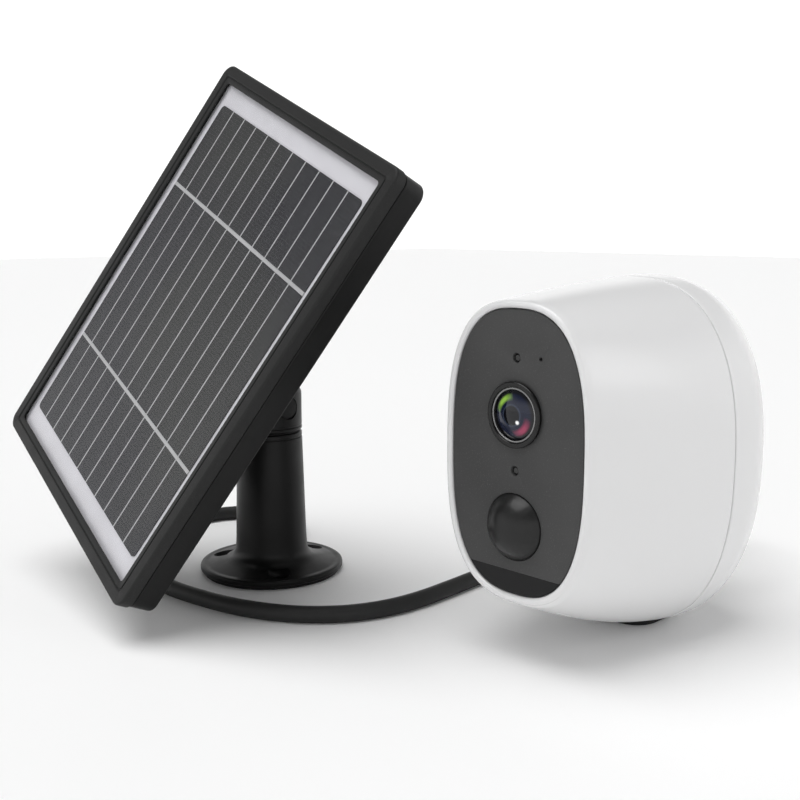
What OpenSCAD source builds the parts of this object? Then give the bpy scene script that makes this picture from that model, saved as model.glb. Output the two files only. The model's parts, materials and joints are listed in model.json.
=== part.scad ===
// Battery security camera with its solar panel on a small stand and the cord that joins them.
// Millimetres, +Z up, the floor is z = 0. The origin is on the camera's tripod thread, at floor level.
// The camera looks along -Y. The stand is on its left, towards -X.

/* [Camera unit] */
// Overall height of the camera unit
cam_h = 100; // [96:1:104]
// Half of the camera unit's greatest width
cam_half_w = 33.7; // [33:0.1:36]
// Depth from the front rim to the widest section
widest_at = 58.8; // [57:0.1:60]
// Depth of the rounded rear end, before it is cut flat
rear_round = 28.9; // [28:0.1:31]
// Depth at which the front shell meets the rear cover
seam_at = 51.1; // [50:0.1:51.5]
// Wall thickness of the shells
wall = 2.2; // [1.8:0.1:2.4]
// Half width of the dark front plate
plate_a = 21.2; // [21:0.1:21.6]
// Half height of the dark front plate
plate_b = 36.6; // [36.2:0.1:37]
// Height of the plate's centre above the floor
plate_z = 56.9; // [56.5:0.1:57.5]

/* [Front plate fittings] */
// Height of the lens axis
lens_z = 67; // [66.5:0.1:67.5]
// Outer radius of the dark lens bezel
bezel_r = 8.45; // [8.2:0.05:8.6]
// Height of the motion sensor dome
dome_z = 38; // [37.5:0.1:38.5]
// Radius of the motion sensor dome
dome_r = 8.6; // [8.2:0.1:8.8]
// Height of the light sensor hole
light_z = 81.3; // [80.5:0.1:82]
// Height of the status light hole
led_z = 52.6; // [52:0.1:53]
// Top edge of the infrared window
ir_top = 26.4; // [26:0.1:26.8]

/* [Solar panel] */
// Width of the panel
panel_w = 105; // [104:1:108]
// Length of the panel
panel_l = 140; // [136:1:141]
// Thickness of the panel
panel_t = 11.4; // [10.4:0.1:11.6]
// Width of the front bezel
bezel_w = 5.6; // [5:0.1:6]
// Number of cell strips side by side
strips = 11; // [8:1:12]
// Backward tilt of the panel from upright, in degrees
tilt = 25; // [25:1:60]
// Roll of the panel about its stud, in degrees
roll = 23; // [0:1:23]

/* [Stand] */
// Position of the stand's axis across
stand_x = -110; // [-111:1:-108]
// Position of the stand's axis front to back
stand_y = -51; // [-52:1:-48]
// Height of the tilt axis
pivot_z = 55.5; // [55.5:0.5:57]
// Radius of the foot flange
flange_r = 23.5; // [23:0.5:25]
// Radius of the column at its foot
column_r = 11.7; // [11.4:0.1:12]
// Radius of the column at its top
column_top_r = 10.6; // [10.4:0.1:10.8]
// Distance from the tilt axis to the front of the panel
reach = 47.6; // [47:0.1:49]
// Height of the panel's centre over the stud, along the panel
panel_rise = 14.5; // [14:0.5:16]

/* [Cord] */
// Diameter of the cord
cord_d = 5; // [4.6:0.2:5]

/* [Hidden] */

front_y = -59;                        // plane of the camera unit's front rim
foot_z = 1.6;                         // height of the shell's flat underside, over the foot pad
sink = -1;                            // how far the full body section reaches below the table; negative is above it
rim = 2;                              // width of the white rim round the front plate
plate_front = 0.6;                    // depth of the front plate's face behind the rim
plate_t = 2.2;                        // thickness of the front plate
plate_n = 2.7;                        // roundness of the front plate's outline
body_n = 2.4;                         // roundness of the body's widest section
flare = 1.4;                          // how the sides and the top swell towards the widest section
keel = 1.6;                           // how the underside comes down towards the widest section
rear_mid = 49.25;                     // height of the middle of the rear panel
flat_k = 0.46;                        // size of the flat rear face, as a share of the widest section
rear_y = front_y + widest_at + rear_round * sin(acos(flat_k));
sides = 64;                           // points round a body section
seam_gap = 0.4;                       // space that the gasket fills
fit = 0.06;                           // radial clearance of a moving fit
port_z = 34;                          // height of the charging port
power_z = 60.5;                       // height of the power button
card_z = 51.5;                        // height of the card slot
reset_z = 43.5;                       // height of the reset button
panel_half = [12.6, 20.6];            // half size of the rear panel
rear_panel_t = 1.6;                   // thickness of the rear panel
insert_r = 3.175;                     // quarter-inch tripod thread, major radius
column_top = 47;                      // height of the column's top face
washer_t = 0.6;                       // thickness of the friction washer
pad_t = 1.2;                          // thickness of the pad under the stand
foot_w = 16;                          // width of the camera's foot pad
foot_l = 20;                          // length of the camera's foot pad
foot_mid = -1;                        // middle of the foot pad, front to back
hole_pitch_r = 18;                    // radius of the stand's screw circle
hole_r = 2.1;                         // radius of the stand's screw holes
knuckle_r = 6;                        // radius of the knuckle's eye
knuckle_t = 8;                        // thickness of the knuckle
tray_back = reach - panel_t;          // distance from the tilt axis to the back of the panel
outlet_angle = 130;                   // direction in which the cord leaves the stand
outlet_z = 4.4;                       // height of the cord's axis at the outlet
outlet_end = 40;                      // distance of the outlet's tip from the stand's axis
plug_end = 53;                        // how far back the plug's strain relief reaches
cord_r = cord_d / 2;

// ---------- helpers ----------

// Draws its children in the plane of the camera's front, with +Z pointing out of it
module facing() {
    translate([0, front_y, 0]) rotate([90, 0, 0]) children();
}

// A round bar along the camera's optical direction, from depth b0 to depth b1
module front_bar(x, z, r, b0, b1) {
    facing() translate([x, z, -b1]) cylinder(r = r, h = b1 - b0);
}

// A box given by its middle in X and Z and by its two depths behind the front rim
module front_box(x, z, w, h, b0, b1) {
    translate([x - w / 2, front_y + b0, z - h / 2]) cube([w, b1 - b0, h]);
}

// A rectangle with round corners, centred
module rounded(w, h, r) {
    square([w - 2 * r, h], center = true);
    square([w, h - 2 * r], center = true);
    for (x = [-1, 1], y = [-1, 1])
        translate([x * (w / 2 - r), y * (h / 2 - r)]) circle(r = r);
}

module rounded_ring(w, h, r, t) {
    difference() {
        rounded(w, h, r);
        rounded(w - 2 * t, h - 2 * t, max(r - t, 0.5));
    }
}

// Places its children on the stand's own axis
module on_stand() {
    translate([stand_x, stand_y, 0]) children();
}

// Places its children in the frame of the tilting parts, with the stud along -Y
module in_tilt() {
    translate([stand_x, stand_y, pivot_z]) rotate([-tilt, 0, 0]) children();
}

// A round bar along the stud, from distance d0 to d1 in front of the tilt axis
module stud_bar(r, d0, d1) {
    in_tilt() translate([0, -d0, 0]) rotate([90, 0, 0]) cylinder(r = r, h = d1 - d0);
}

// Places its children in the frame of the panel: drawn in its plane, +Z towards its front
module in_panel(d) {
    in_tilt() rotate([0, roll, 0]) translate([0, -d, panel_rise]) rotate([90, 0, 0]) children();
}

// One point of a superellipse
function super_pt(a, b, n, t) =
    [a * sign(cos(t)) * pow(abs(cos(t)), 2 / n), b * sign(sin(t)) * pow(abs(sin(t)), 2 / n)];

function super_outline(a, b, n, count) =
    [for (i = [0 : count - 1]) super_pt(a, b, n, 360 * i / count)];

// Share of the way still to go to the widest section at depth y
function ahead(y) = max(0, widest_at - y) / widest_at;

// Share of the swelling reached at depth y in front of the widest section
function swell(y) = 1 - pow(ahead(y), flare);

// Scale of the rear sections behind the widest one
function rear_k(y) = sqrt(max(0, 1 - pow(max(0, y - widest_at) / rear_round, 2)));

function half_w(y) = (plate_a + rim + (cam_half_w - plate_a - rim) * swell(y)) * rear_k(y);
function top_z(y) = cam_h - (cam_h - plate_z - plate_b - rim) * pow(ahead(y), flare);
function bottom_z(y) = (plate_z - plate_b - rim + sink) * pow(ahead(y), keel) - sink;
function half_h(y) = (top_z(y) - bottom_z(y)) / 2 * rear_k(y);
function mid_z(y) = (top_z(y) + bottom_z(y)) / 2;
function round_n(y) = plate_n + (body_n - plate_n) * swell(y);

// One ring of points at depth y, with given half sizes, kept above a lowest height
function ring(y, a, b, z, n, lowest) =
    [for (p = super_outline(a, b, n, sides)) [p[0], front_y + y, max(lowest, z + p[1])]];

function body_ring(y, inset, lowest) =
    ring(y, half_w(y) - inset, half_h(y) - inset, mid_z(y), round_n(y), lowest);

function plate_ring(y, grow) =
    ring(y, plate_a + grow, plate_b + grow, plate_z, plate_n, foot_z);

// Quads between consecutive rings of m points each
function ring_faces(count, m, closed) =
    [for (i = [0 : count - (closed ? 1 : 2)], j = [0 : m - 1])
        [i * m + j, i * m + (j + 1) % m,
         ((i + 1) % count) * m + (j + 1) % m, ((i + 1) % count) * m + j]];

function flat(lists) = [for (l = lists, p = l) p];

// ---------- camera unit: casing ----------

shell_depths = [2, 6, 12, 20, 28, 36, 44, seam_at];
inner_depths = [seam_at, 44, 36, 28, 20, 12, 7];
front_rings = concat(
    [plate_ring(0, 1.0), plate_ring(0.5, 1.8)],
    [for (y = shell_depths) body_ring(y, 0, foot_z)],
    [for (y = inner_depths) body_ring(y, wall, foot_z + wall)],
    [plate_ring(5.2, -2), plate_ring(2.9, -2), plate_ring(2.85, 0.15), plate_ring(0.4, 0.15)]
);

slot_pitch = 2.6;                     // spacing of the sound slots
slot_w = 0.9;                         // width of one sound slot
slot_l = 7;                           // length of the sound slots, front to back
slot_depth = 8;                       // where the sound slots begin, behind the front rim

module speaker_slots() {
    for (i = [-3 : 3])
        translate([i * slot_pitch - slot_w / 2, front_y + 1, 4]) rotate([0, 12, 0]) cube([slot_w, 16, 17]);
}

module front_shell() {
    color("white") difference() {
        polyhedron(flat(front_rings), ring_faces(len(front_rings), sides, true), convexity = 6);
        intersection() {
            speaker_slots();
            translate([-12, front_y + slot_depth, 3]) cube([24, slot_l, 19]);
        }
    }
}

rear_steps = [0, 10, 20, 30, 40, 50, 58];
rear_start = seam_at + seam_gap;
function rear_depth(t) = widest_at + rear_round * sin(t);
rear_flat = rear_y - front_y;
rear_outer = concat(
    [body_ring(rear_start, 0, foot_z), body_ring(55, 0, foot_z)],
    [for (t = rear_steps) body_ring(rear_depth(t), 0, foot_z)],
    [body_ring(rear_flat, 0, foot_z)]
);
rear_inner = concat(
    [ring(rear_flat - wall, half_w(rear_flat) - 1, half_h(rear_flat) - 1, mid_z(rear_flat), body_n,
          foot_z + wall)],
    [for (i = [len(rear_steps) - 2 : -1 : 0])
        body_ring(rear_depth(rear_steps[i]) - wall * sin(rear_steps[i]), wall, foot_z + wall)],
    [body_ring(55, wall, foot_z + wall), body_ring(rear_start, wall, foot_z + wall)]
);
rear_rings = concat(rear_outer, rear_inner);
rear_edge = len(rear_outer) - 1;

// The ring faces leave out the band across the flat rear wall, which two end fans close
function rear_faces() = concat(
    [for (f = ring_faces(len(rear_rings), sides, true))
        if (!(floor(min(f) / sides) == rear_edge && floor(max(f) / sides) == rear_edge + 1)) f],
    [[for (j = [0 : sides - 1]) rear_edge * sides + j]],
    [[for (j = [sides - 1 : -1 : 0]) (rear_edge + 1) * sides + j]]
);

module rear_outline(inset) {
    rounded(2 * (panel_half[0] - inset), 2 * (panel_half[1] - inset), 5 - inset);
}

// Places its children on the rear face, with +Z pointing out of it
module at_rear(x, z, depth) {
    translate([x, rear_y - depth, z]) rotate([-90, 0, 0]) children();
}

module rear_cover() {
    color("white") difference() {
        polyhedron(flat(rear_rings), rear_faces(), convexity = 6);
        at_rear(0, rear_mid, rear_panel_t + 0.1) linear_extrude(4) rear_outline(-0.1);
        at_rear(0, rear_mid, 5) linear_extrude(6) rear_outline(1.6);
        translate([0, 0, -1]) cylinder(r = 5.5, h = 6);
    }
}

module shell_gasket() {
    gasket_t = 1.4;
    outer_pts = [for (p = body_ring(seam_at, 0.5, foot_z + 0.4)) [p[0], p[2]]];
    inner_pts = [for (p = body_ring(seam_at, 0.5 + gasket_t, foot_z + 0.4 + gasket_t)) [p[0], p[2]]];
    color("dimgray") facing() translate([0, 0, -seam_at - seam_gap]) linear_extrude(seam_gap)
        difference() {
            polygon(outer_pts);
            polygon(inner_pts);
        }
}

module foot_pad() {
    color("dimgray") difference() {
        translate([0, foot_mid, 0]) linear_extrude(foot_z) rounded(foot_w, foot_l, foot_w / 2 - 0.1);
        translate([0, 0, -1]) cylinder(r = 5.5, h = foot_z + 2);
    }
}

module tripod_insert() {
    color("goldenrod") difference() {
        cylinder(r = 5.4, h = 9.7);
        translate([0, 0, -1]) cylinder(r = insert_r, h = 9.2);
    }
}

// ---------- camera unit: front plate and what looks through it ----------

module plate_shape() {
    translate([0, plate_z]) polygon(super_outline(plate_a, plate_b, plate_n, 96));
}

module fascia() {
    color([0.25, 0.25, 0.26]) difference() {
        facing() translate([0, 0, -plate_front - plate_t]) linear_extrude(plate_t) difference() {
            plate_shape();
            translate([-30, 0]) square([60, ir_top + 0.05]);
        }
        front_bar(0, lens_z, 7.65, -1, 4);
        front_bar(0, dome_z, dome_r + 0.05, -1, 4);
        front_bar(0, light_z, 1.2, -1, 4);
        front_bar(0, led_z, 1.2, -1, 4);
        front_bar(7.6, light_z + 0.3, 0.4, -1, 4);
    }
}

module ir_window() {
    color([0.1, 0.1, 0.12]) facing() translate([0, 0, -plate_front - plate_t])
        linear_extrude(plate_t - 0.1) intersection() {
            plate_shape();
            translate([-30, 0]) square([60, ir_top - 0.05]);
        }
}

module lens_bezel() {
    color([0.12, 0.12, 0.13]) difference() {
        union() {
            front_bar(0, lens_z, bezel_r, -0.6, plate_front);
            front_bar(0, lens_z, 7.6, plate_front, 3.6);
        }
        front_bar(0, lens_z, 7.05, -1, 1.4);
        front_bar(0, lens_z, 6, 1, 4);
    }
}

module lens_trim_ring() {
    color("silver") difference() {
        front_bar(0, lens_z, 7, -0.2, 1.4);
        front_bar(0, lens_z, 6.45, -1, 2);
    }
}

module lens_glass() {
    cap_r = 12;
    glass_r = 6.4;
    cap_rise = cap_r - sqrt(cap_r * cap_r - glass_r * glass_r);
    color([0.15, 0.2, 0.35]) intersection() {
        front_bar(0, lens_z, glass_r, -3, 1.35);
        facing() translate([0, lens_z, -cap_r - 0.6 + cap_rise]) sphere(r = cap_r);
    }
}

module lens_barrel() {
    color([0.08, 0.08, 0.08]) difference() {
        front_bar(0, lens_z, 5.9, 1.6, 10);
        front_bar(0, lens_z, 5.2, 1, 3);
        front_bar(0, lens_z, 4.2, 2, 8);
        front_bar(0, lens_z, 3, 7, 11);
    }
}

module inner_lens() {
    color([0.1, 0.15, 0.4]) intersection() {
        front_bar(0, lens_z, 4.15, 3, 6);
        facing() translate([0, lens_z, -3.4 - 8]) sphere(r = 8);
    }
}

module lens_holder() {
    color([0.1, 0.1, 0.1]) difference() {
        front_box(0, lens_z, 16, 15, 6.5, 13);
        front_bar(0, lens_z, 5.95, 6, 14);
    }
}

module image_sensor() {
    color("darkslategray") front_box(0, lens_z, 7, 6, 11.8, 13);
}

module motion_dome() {
    rise = 5;
    ball = (dome_r * dome_r + rise * rise) / (2 * rise);
    color([0.1, 0.1, 0.1]) facing() translate([0, dome_z, -plate_front]) rotate_extrude()
        difference() {
            union() {
                intersection() {
                    translate([0, rise - ball]) circle(r = ball);
                    translate([0, -0.5]) square([dome_r, rise + 1.5]);
                }
                translate([0, -plate_t - 0.1]) square([dome_r, plate_t + 0.1]);
                translate([0, -plate_t - 1.1]) square([dome_r + 1.4, 1]);
            }
            intersection() {
                translate([0, rise - ball]) circle(r = ball - 0.8);
                square([dome_r, rise]);
            }
            translate([0, -plate_t - 2]) square([dome_r - 0.8, plate_t + 2.01]);
            translate([-30, -10]) square([30, 30]);
        }
}

module motion_sensor() {
    color("silver") front_bar(0, dome_z, 4.6, 8, 13);
}

module light_sensor() {
    color("white") front_bar(0, light_z, 1.1, 1.1, 13);
}

module status_light() {
    color("aliceblue") front_bar(0, led_z, 1.1, 1.1, 13);
}

module ir_leds() {
    color("lavender") for (x = [-9, 0, 9]) front_bar(x, 24, 1.5, 7, 13);
}

module microphone() {
    color("silver") front_bar(7.6, light_z + 0.3, 1.4, 3.2, 13);
}

module front_board() {
    color("darkgreen") facing() translate([0, 55.5, -14.4]) linear_extrude(1.4) rounded(30, 66, 4);
}

// ---------- camera unit: inside ----------

screw_x = [-12.5, 12.5];              // places of the four board screws
screw_z = [24, 80];

module main_board() {
    color("darkgreen") difference() {
        facing() translate([0, 52, -21.6]) linear_extrude(1.6) rounded(36, 64, 3);
        for (x = screw_x, z = screw_z) front_bar(x, z, 1.3, 19, 23);
    }
}

module shield_can() {
    color("silver") front_box(0, 52, 22, 26, 16.4, 19.95);
}

module wifi_antenna() {
    color("goldenrod") front_box(0, 90.5, 20, 5, 27, 27.6);
}

module speaker() {
    color("dimgray") translate([0, front_y + 15.5, 15.6]) rotate([-25, 0, 0]) {
        cylinder(r = 8, h = 2.2);
        translate([0, 0, 2.1]) cylinder(r = 4.5, h = 1.2);
    }
}

tray_y = front_y + 24;                // front of the battery tray
tray_bottom = 16;
tray_h = 70;
tray_chamfer = 3.2;                   // width of the bevel that clears the casing along the tray's lower edges
cell_x = 10;                          // half the spacing of the two cells
cell_y = tray_y + 14;

module battery_tray() {
    color([0.2, 0.2, 0.22]) difference() {
        union() {
            translate([0, tray_y, tray_bottom]) linear_extrude(tray_h) polygon([
                [-15.5, 0], [15.5, 0], [20.5, 10.5], [20.5, 23], [-20.5, 23], [-20.5, 10.5]
            ]);
            for (x = screw_x, z = screw_z) front_bar(x, z, 2.8, 21.7, 24.5);
        }
        for (x = [-20.5, 20.5]) translate([x, tray_y - 1, tray_bottom]) rotate([0, 45, 0])
            translate([-tray_chamfer / 2, 0, -tray_chamfer / 2]) cube([tray_chamfer, 26, tray_chamfer]);
        for (x = [-cell_x, cell_x]) translate([x, cell_y, tray_bottom + 1.5])
            cylinder(r = 9.3, h = tray_h - 3);
        translate([-19.3, cell_y, tray_bottom + 1.5]) cube([38.6, 12, tray_h - 3]);
        for (x = screw_x, z = screw_z) front_bar(x, z, 1.05, 21, 28.5);
    }
}

module battery_cells() {
    color("steelblue") for (x = [-cell_x, cell_x]) translate([x, cell_y, tray_bottom + 2.4]) {
        cylinder(r = 9.15, h = 63.8);
        translate([0, 0, 63.8]) cylinder(r = 3, h = 1.2);
    }
}

module battery_contacts() {
    color("silver") {
        translate([-15, cell_y + 0.2, tray_bottom + 1.6]) cube([30, 8, 0.7]);
        for (x = [-cell_x, cell_x]) translate([x - 4, cell_y - 4, tray_bottom + 67.5])
            cube([8, 8, 0.7]);
    }
}

module board_screws() {
    color("silver") for (x = screw_x, z = screw_z) {
        front_bar(x, z, 2.2, 18.6, 19.95);
        front_bar(x, z, 1.0, 19.5, 28);
    }
}

// ---------- camera unit: rear panel ----------

module rear_panel() {
    color([0.2, 0.2, 0.2]) difference() {
        at_rear(0, rear_mid, rear_panel_t) linear_extrude(rear_panel_t) rear_outline(0);
        at_rear(0, port_z, 5) cylinder(r = 5.2, h = 8);
        at_rear(0, power_z, 5) cylinder(r = 4 + fit, h = 8);
        at_rear(0, reset_z, 5) cylinder(r = 1.5 + fit, h = 8);
        translate([-5.7, rear_y - 5, card_z - 0.6]) cube([11.4, 8, 1.2]);
    }
}

module usb_socket() {
    color("silver") difference() {
        translate([-4.6, rear_y - 9.5, port_z - 2.6]) cube([9.2, 7.5, 5.2]);
        translate([-3.6, rear_y - 8.8, port_z - 1.2]) cube([7.2, 8, 2.4]);
    }
}

module card_socket() {
    color("silver") difference() {
        translate([-7, rear_y - 17.5, card_z - 1.7]) cube([14, 15.5, 3.4]);
        translate([-5.7, rear_y - 16.5, card_z - 0.6]) cube([11.4, 18, 1.2]);
    }
}

module power_button() {
    color([0.15, 0.15, 0.15]) at_rear(0, power_z, 0) {
        translate([0, 0, -rear_panel_t - 0.5]) cylinder(r = 4, h = rear_panel_t + 1.5);
        translate([0, 0, -rear_panel_t - 1.5]) cylinder(r = 5.2, h = 1);
    }
}

module reset_button() {
    color("silver") at_rear(0, reset_z, 0) {
        translate([0, 0, -rear_panel_t - 0.5]) cylinder(r = 1.5, h = rear_panel_t);
        translate([0, 0, -rear_panel_t - 1.3]) cylinder(r = 2.4, h = 0.8);
    }
}

module microsd_card() {
    color([0.1, 0.1, 0.1]) translate([-5.5, rear_y - 15, card_z - 0.5]) cube([11, 15.3, 1]);
}

// ---------- stand ----------

column_wall = 2.8;
column_cap = 7;
spigot_r = 5;

module screw_circle() {
    for (i = [0 : 2]) rotate([0, 0, 90 + 120 * i]) translate([hole_pitch_r, 0, 0]) children();
}

module stand_base() {
    color([0.12, 0.12, 0.12]) on_stand() difference() {
        union() {
            rotate_extrude() polygon([
                [0, pad_t], [flange_r, pad_t], [flange_r, 2.6], [flange_r - 0.6, 3.1],
                [15, 4.6], [column_r + 0.6, 6.2], [column_r, 8],
                [column_top_r, column_top - 0.6], [column_top_r - 0.6, column_top], [0, column_top]
            ]);
            rotate([0, 0, outlet_angle]) translate([10, -5, pad_t]) cube([14.5, 10, 8 - pad_t]);
        }
        translate([0, 0, pad_t - 1])
            cylinder(r = column_top_r - column_wall, h = column_top - column_cap - pad_t + 1);
        translate([0, 0, 30]) cylinder(r = spigot_r + fit, h = 20);
        screw_circle() translate([0, 0, -1]) cylinder(r = hole_r, h = 10);
        rotate([0, 0, outlet_angle]) translate([5, 0, outlet_z]) rotate([0, 90, 0])
            cylinder(r = 2.6, h = 25);
    }
}

module stand_pad() {
    color("dimgray") on_stand() difference() {
        cylinder(r = flange_r - 1, h = pad_t);
        translate([0, 0, -1]) cylinder(r = 8, h = pad_t + 2);
        screw_circle() translate([0, 0, -1]) cylinder(r = hole_r + 0.6, h = 5);
    }
}

module friction_washer() {
    color("dimgray") on_stand() translate([0, 0, column_top]) difference() {
        cylinder(r = column_top_r - 0.7, h = washer_t);
        translate([0, 0, -1]) cylinder(r = spigot_r + 0.3, h = 3);
    }
}

module cord_outlet() {
    color([0.1, 0.1, 0.1]) on_stand() rotate([0, 0, outlet_angle]) translate([0, 0, outlet_z])
        rotate([0, 90, 0]) {
            translate([0, 0, 10]) cylinder(r = 2.5, h = 14.5);
            translate([0, 0, 24.5]) cylinder(r1 = 4, r2 = 2.9, h = outlet_end - 24.5);
        }
}

head_bottom = column_top + washer_t + 0.05;
head_top = 62;

module swivel_head() {
    color([0.12, 0.12, 0.12]) difference() {
        union() {
            on_stand() rotate_extrude() polygon([
                [0, head_bottom], [column_top_r - 0.5, head_bottom], [column_top_r, head_bottom + 0.5],
                [column_top_r, head_top - 2.5], [column_top_r - 0.8, head_top - 0.8],
                [column_top_r - 2.5, head_top], [0, head_top]
            ]);
            on_stand() translate([0, 0, column_top - column_cap - 0.3])
                cylinder(r = spigot_r, h = column_cap + 2);
        }
        translate([stand_x - knuckle_t / 2 - 0.1, stand_y - 20, pivot_z - knuckle_r - 0.3])
            cube([knuckle_t + 0.2, 40, 30]);
        translate([stand_x - 20, stand_y, pivot_z]) rotate([0, 90, 0]) cylinder(r = 2, h = 40);
        translate([stand_x + 8, stand_y, pivot_z]) rotate([0, 90, 0]) cylinder(r = 3.7, h = 10);
        translate([stand_x - 18, stand_y, pivot_z]) rotate([0, 90, 0]) cylinder(r = 3.9, h = 10);
        on_stand() translate([0, 0, 30]) cylinder(r = 2, h = 30);
    }
}

module pan_washer() {
    color("silver") on_stand() translate([0, 0, column_top - column_cap - 1.3]) difference() {
        cylinder(r = 7.2, h = 1);
        translate([0, 0, -1]) cylinder(r = 2.1, h = 3);
    }
}

module pan_screw() {
    color("silver") on_stand() difference() {
        union() {
            translate([0, 0, column_top - column_cap - 3.3]) cylinder(r = 3.6, h = 2);
            translate([0, 0, column_top - column_cap - 1.5]) cylinder(r = 2, h = 9.5);
        }
        translate([0, 0, 20]) cylinder(r = 1.1, h = 40);
    }
}

module tilt_bolt() {
    color("silver") translate([stand_x, stand_y, pivot_z]) rotate([0, 90, 0]) {
        translate([0, 0, -9.5]) cylinder(r = 2, h = 18);
        translate([0, 0, 8]) cylinder(r = 3.6, h = 2);
    }
}

module tilt_nut() {
    color("silver") translate([stand_x - 8, stand_y, pivot_z]) rotate([0, -90, 0]) difference() {
        cylinder(r = 3.6, h = 1.6, $fn = 6);
        translate([0, 0, -1]) cylinder(r = 2, h = 4);
    }
}

module knuckle() {
    color([0.15, 0.15, 0.15]) difference() {
        union() {
            in_tilt() rotate([0, 90, 0]) translate([0, 0, -knuckle_t / 2])
                cylinder(r = knuckle_r, h = knuckle_t);
            in_tilt() translate([-knuckle_t / 2, -13, -4]) cube([knuckle_t, 13, 8]);
            stud_bar(7, 13, 16.5);
        }
        in_tilt() rotate([0, 90, 0]) translate([0, 0, -10]) cylinder(r = 2 + fit, h = 20);
        stud_bar(insert_r, 9, 20);
    }
}

module stud() {
    color("silver") difference() {
        stud_bar(insert_r, 9, 20);
        stud_bar(1.1, 8, 21);
    }
    color("silver") difference() {
        stud_bar(insert_r - 0.05, 20, 35);
        stud_bar(1.1, 19, 36);
    }
}

module lock_nut() {
    color([0.15, 0.15, 0.15]) difference() {
        stud_bar(9, 24.5, 29);
        stud_bar(insert_r - 0.05, 24, 30);
        for (a = [0 : 30 : 330])
            in_tilt() rotate([0, a, 0]) translate([9.6, -24, 0]) rotate([90, 0, 0])
                cylinder(r = 1.2, h = 6);
    }
}

// ---------- solar panel ----------

glass_w = panel_w - 2 * bezel_w + 2.2;
glass_l = panel_l - 2 * bezel_w + 2.2;
cells_w = panel_w - 2 * bezel_w - 5.8;
cells_l = panel_l - 2 * bezel_w - 12.8;
strip_gap = 0.5;
strip_w = (cells_w - (strips - 1) * strip_gap) / strips;
bus_w = 1.2;
lip_t = 0.6;                          // thickness of the bezel's lip over the cover sheet
glass_t = 0.8;                        // thickness of the cover sheet
sheet_r = 1.8;                        // corner radius of the cover sheet and the backing
cell_d = reach - lip_t - glass_t - 0.35; // where the backs of the cells lie
tray_inset = 0.3;                     // how far the tray stands in from the bezel
tray_corner = 4;                      // corner radius of the tray
tray_w = panel_w - 2 * tray_inset;
tray_l = panel_l - 2 * tray_inset;
tray_wall = 2.2;
boss_r = 11;
boss_d = 30;
post_x = panel_w / 2 - 8;
post_z = panel_l / 2 - 8;

// A flat layer of the panel between two distances in front of the tilt axis
module layer(d0, d1) {
    in_panel(d0) linear_extrude(d1 - d0) children();
}

module panel_frame() {
    color([0.3, 0.3, 0.31]) difference() {
        layer(reach - 3.6, reach) rounded(panel_w, panel_l, 4);
        layer(reach - 4, reach - lip_t) rounded(glass_w + 0.2, glass_l + 0.2, 1.6);
        layer(reach - 2, reach + 1) rounded(panel_w - 2 * bezel_w, panel_l - 2 * bezel_w, 1.2);
        in_panel(reach - 4) for (x = [-1, 1], z = [-1, 1])
            translate([x * (panel_w / 2 - 2.6), z * post_z, 0]) cylinder(r = 0.9, h = 2.8);
    }
}

module panel_glass() {
    color([0.5, 0.52, 0.58]) layer(reach - lip_t - glass_t, reach - lip_t) rounded(glass_w, glass_l, sheet_r);
}

// Lengths of the three sections of a strip, cut by the two busbars
cuts = [-cells_l / 2, -cells_l / 4, cells_l / 4, cells_l / 2];

module solar_cells() {
    color([0.24, 0.24, 0.27]) in_panel(cell_d) for (i = [0 : strips - 1], k = [0 : 2])
        translate([-cells_w / 2 + i * (strip_w + strip_gap), cuts[k] + (k == 0 ? 0 : bus_w / 2), 0])
            cube([strip_w, cuts[k + 1] - cuts[k] - bus_w / (k == 1 ? 1 : 2), 0.3]);
}

module busbars() {
    color("white") in_panel(cell_d) for (k = [1, 2])
        translate([-cells_w / 2, cuts[k] - bus_w / 2 + 0.05, 0]) cube([cells_w, bus_w - 0.1, 0.3]);
}

module backsheet() {
    color([0.83, 0.83, 0.86]) layer(reach - 3.55, cell_d) rounded(glass_w, glass_l, sheet_r);
}

module panel_gasket() {
    color([0.05, 0.05, 0.05]) layer(reach - 4.1, reach - 3.6)
        rounded_ring(panel_w - 2.6, panel_l - 2.6, 3, 3.6);
}

module panel_tray() {
    color([0.1, 0.1, 0.1]) difference() {
        union() {
            layer(tray_back + 1, reach - 4.1) rounded(tray_w, tray_l, tray_corner);
            layer(tray_back, tray_back + 1.5) rounded(tray_w - 1.2, tray_l - 1.2, tray_corner - 0.6);
            stud_bar(boss_r, boss_d, tray_back + 1);
        }
        difference() {
            layer(tray_back + tray_wall, reach) rounded(tray_w - 2 * tray_wall, tray_l - 2 * tray_wall, tray_corner - 1.5);
            for (x = [-1, 1], z = [-1, 1]) in_panel(tray_back) translate([x * post_x, z * post_z, 0])
                cylinder(r = 4, h = 4.6);
            stud_bar(7.4, tray_back, tray_back + 4.4);
        }
        for (x = [-1, 1], z = [-1, 1]) in_panel(tray_back - 1) translate([x * post_x, z * post_z, 0]) {
            cylinder(r = 1.6, h = 8);
            cylinder(r = 3, h = 2.2);
        }
        stud_bar(5, boss_d - 1, tray_back + 2.9);
    }
}

module panel_insert() {
    color("goldenrod") difference() {
        stud_bar(5, boss_d + 0.2, tray_back + 2.8);
        stud_bar(insert_r, boss_d - 1, tray_back + 4);
    }
}

module panel_screws() {
    color("silver") for (x = [-1, 1], z = [-1, 1])
        in_panel(tray_back - 0.2) translate([x * post_x, z * post_z, 0]) {
            cylinder(r = 2.7, h = 1.4);
            cylinder(r = 1.5, h = 5.8);
        }
}

module charge_board() {
    color("darkgreen") in_panel(tray_back + tray_wall + 0.5) translate([-15, 18, 0]) cube([30, 20, 1.4]);
}

// ---------- cord ----------

outlet_tip = [stand_x + outlet_end * cos(outlet_angle), stand_y + outlet_end * sin(outlet_angle)];

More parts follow.
